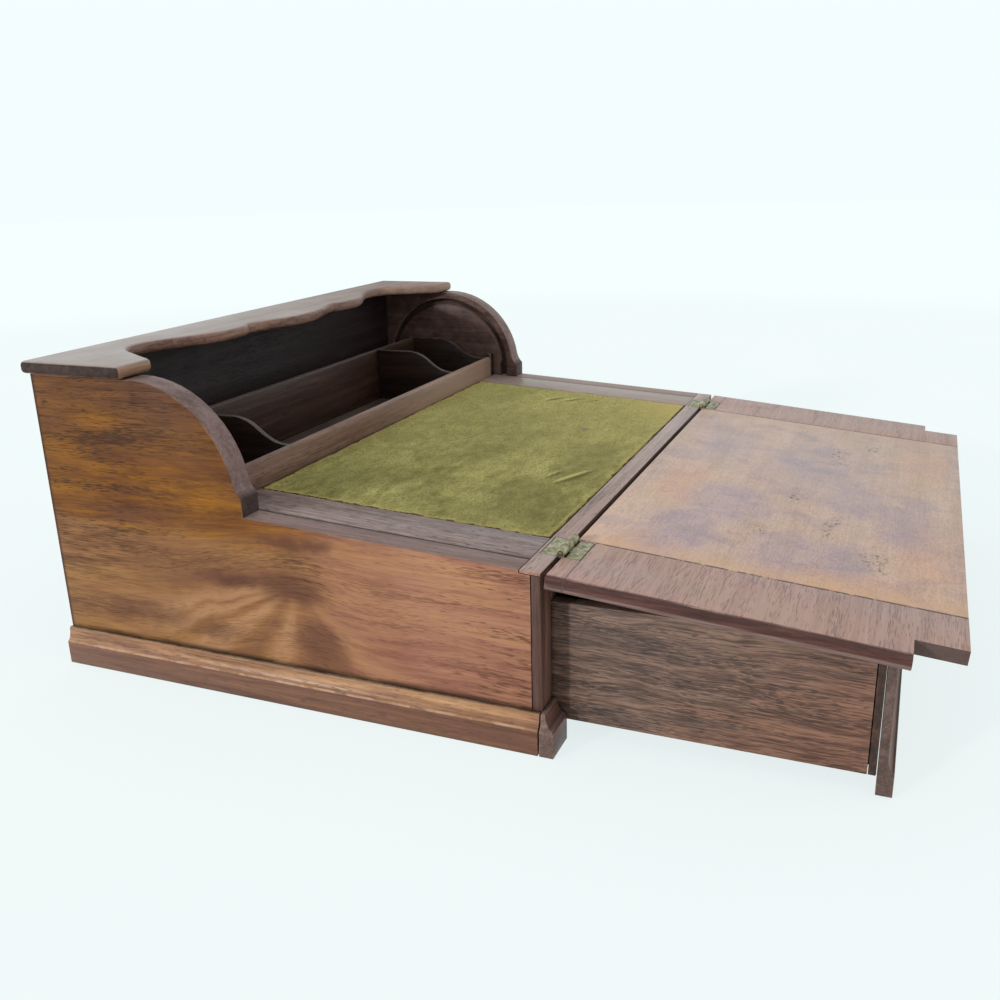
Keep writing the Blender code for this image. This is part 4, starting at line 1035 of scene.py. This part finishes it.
def make_camera():
    """The photo's camera, as fitted to the edges of the box."""
    lens = bpy.data.cameras.new("photo_camera")
    lens.sensor_fit = "HORIZONTAL"
    lens.sensor_width = 36
    lens.lens = 36.412
    camera = bpy.data.objects.new("photo_camera", lens)
    bpy.context.scene.collection.objects.link(camera)
    camera.location = (-0.5225, -0.2575, 0.2341)
    camera.rotation_euler = [math.radians(a) for a in (71.843, 1.398, -67.659)]
    bpy.context.scene.camera = camera


def pair(stem):
    return f"{stem}_left", f"{stem}_right"


def finishes():
    """Each finish, the easing of its edges in millimetres and the nodes that wear it."""
    # A finish's dirt sets its painted shade with grime in the corners.
    dark = plain_wood("dark_rack_wood", 0, DARK_TONES, 0.4, pores=0.45, seed=2.4, dust=0.2,
                      worn=tone(140, 116, 100))
    stile = plain_wood("stile_wood", 1, STRIP_TONES, 0.36, pores=0.75, pore=(0.005, 0.0006),
                       seed=4.1, worn=tone(78, 56, 50), wear=0.6, contrast=1.9,
                       shares=(0.3, 0.35, 0.35), seam=SIDE_INNER - 0.0003,
                       pale_end=tone(172, 154, 142))
    upright = plain_wood("upright_wood", 2, UPRIGHT_TONES, 0.4, pores=0.4, seed=2.9,
                         worn=tone(128, 94, 76), wear=0.4, dirt=0.25, front=tone(114, 84, 73))
    cross = plain_wood("cross_wood", 0, CROSS_TONES, 0.36, pores=0.5, pore=(0.006, 0.0006),
                       seed=7.7, dirt=0.2, front=tone(66, 48, 41), ends=tone(150, 106, 84))
    block = plain_wood("return_wood", 0, BLOCK_TONES, 0.38, pores=0.4, seed=3.7,
                       worn=tone(196, 162, 142), wear=0.6, dirt=0.25, front=tone(108, 76, 66))
    bare = plain_wood("drawer_inside_wood", 0, DRAWER_TONES, 0.6, seed=3.9)
    face = plain_wood("drawer_face_wood", 0, FACE_TONES, 0.4, seed=6.6, worn=tone(142, 118, 106),
                      front=tone(130, 92, 70))
    rail = plain_wood("rack_rail_wood", 0, RAIL_TONES, 0.36, pores=0.5, seed=2.4,
                      worn=tone(158, 130, 108), pale_end=tone(178, 150, 130))
    divider = plain_wood("divider_wood", 1, DIVIDER_TONES, 0.4, pores=0.4, seed=8.4, dust=0.2,
                         worn=tone(178, 152, 136), wear=0.9)
    # Near black on the inside, partly painted shade; the rear faces brown.
    inner = plain_wood("inner_wood", 0, INNER_TONES, 0.55, pores=0.4, seed=5.1, dust=0.1,
                       rear=tone(84, 58, 45))
    return (
        (veneer_board(), 0.25, ("left_side", "right_side")),
        (plinth_wood(), 0.3, pair("plinth")),
        (stile, 0.4, pair("stile")),
        (upright, 0.2, pair("side_lipping")),
        (cross, 0.1, ("front_cap", "front_rail")),
        (block, 0.2, pair("plinth_return")),
        (cleat_wood(), 0.3, pair("flap_cleat")),
        (flap_wood(), 0.3, ("flap_panel",)),
        (top_wood(), 0, ("top_board",)),
        (drawer_wood(), 0.3, pair("drawer_side")),
        (bare, 0.3, ("drawer_bottom", "drawer_back")),
        (face, 0.3, ("drawer_front",)),
        (rail, 0.4, ("rack_front",)),
        (dark, 0.4, ("rack_back", "rack_floor", "drawer_box_front", "tambour_lead_rail")),
        (dark, 0, [f"tambour_slat_{index:02d}" for index in range(1, 14)]),
        (divider, 0.4, pair("rack_end") + pair("rack_divider")),
        (inner, 0.4, ("bottom_board", "back_panel", "drawer_stop_board", "writing_panel")),
    )


def main():
    for material, easing, names in finishes():
        for name in names:
            dress(name, material, easing * 0.001)
    metal = brass()
    for name in pair("hinge_leaf") + pair("flap_hinge_leaf") + pair("hinge_pin"):
        dress(name, metal, 0.00012)
    make_screws(metal)
    make_velvet(velvet_cloth())
    make_canvas(canvas_cloth())
    bpy.context.scene.view_settings.view_transform = "Standard"
    make_world()
    make_floor()
    make_sun()
    make_camera()


main()
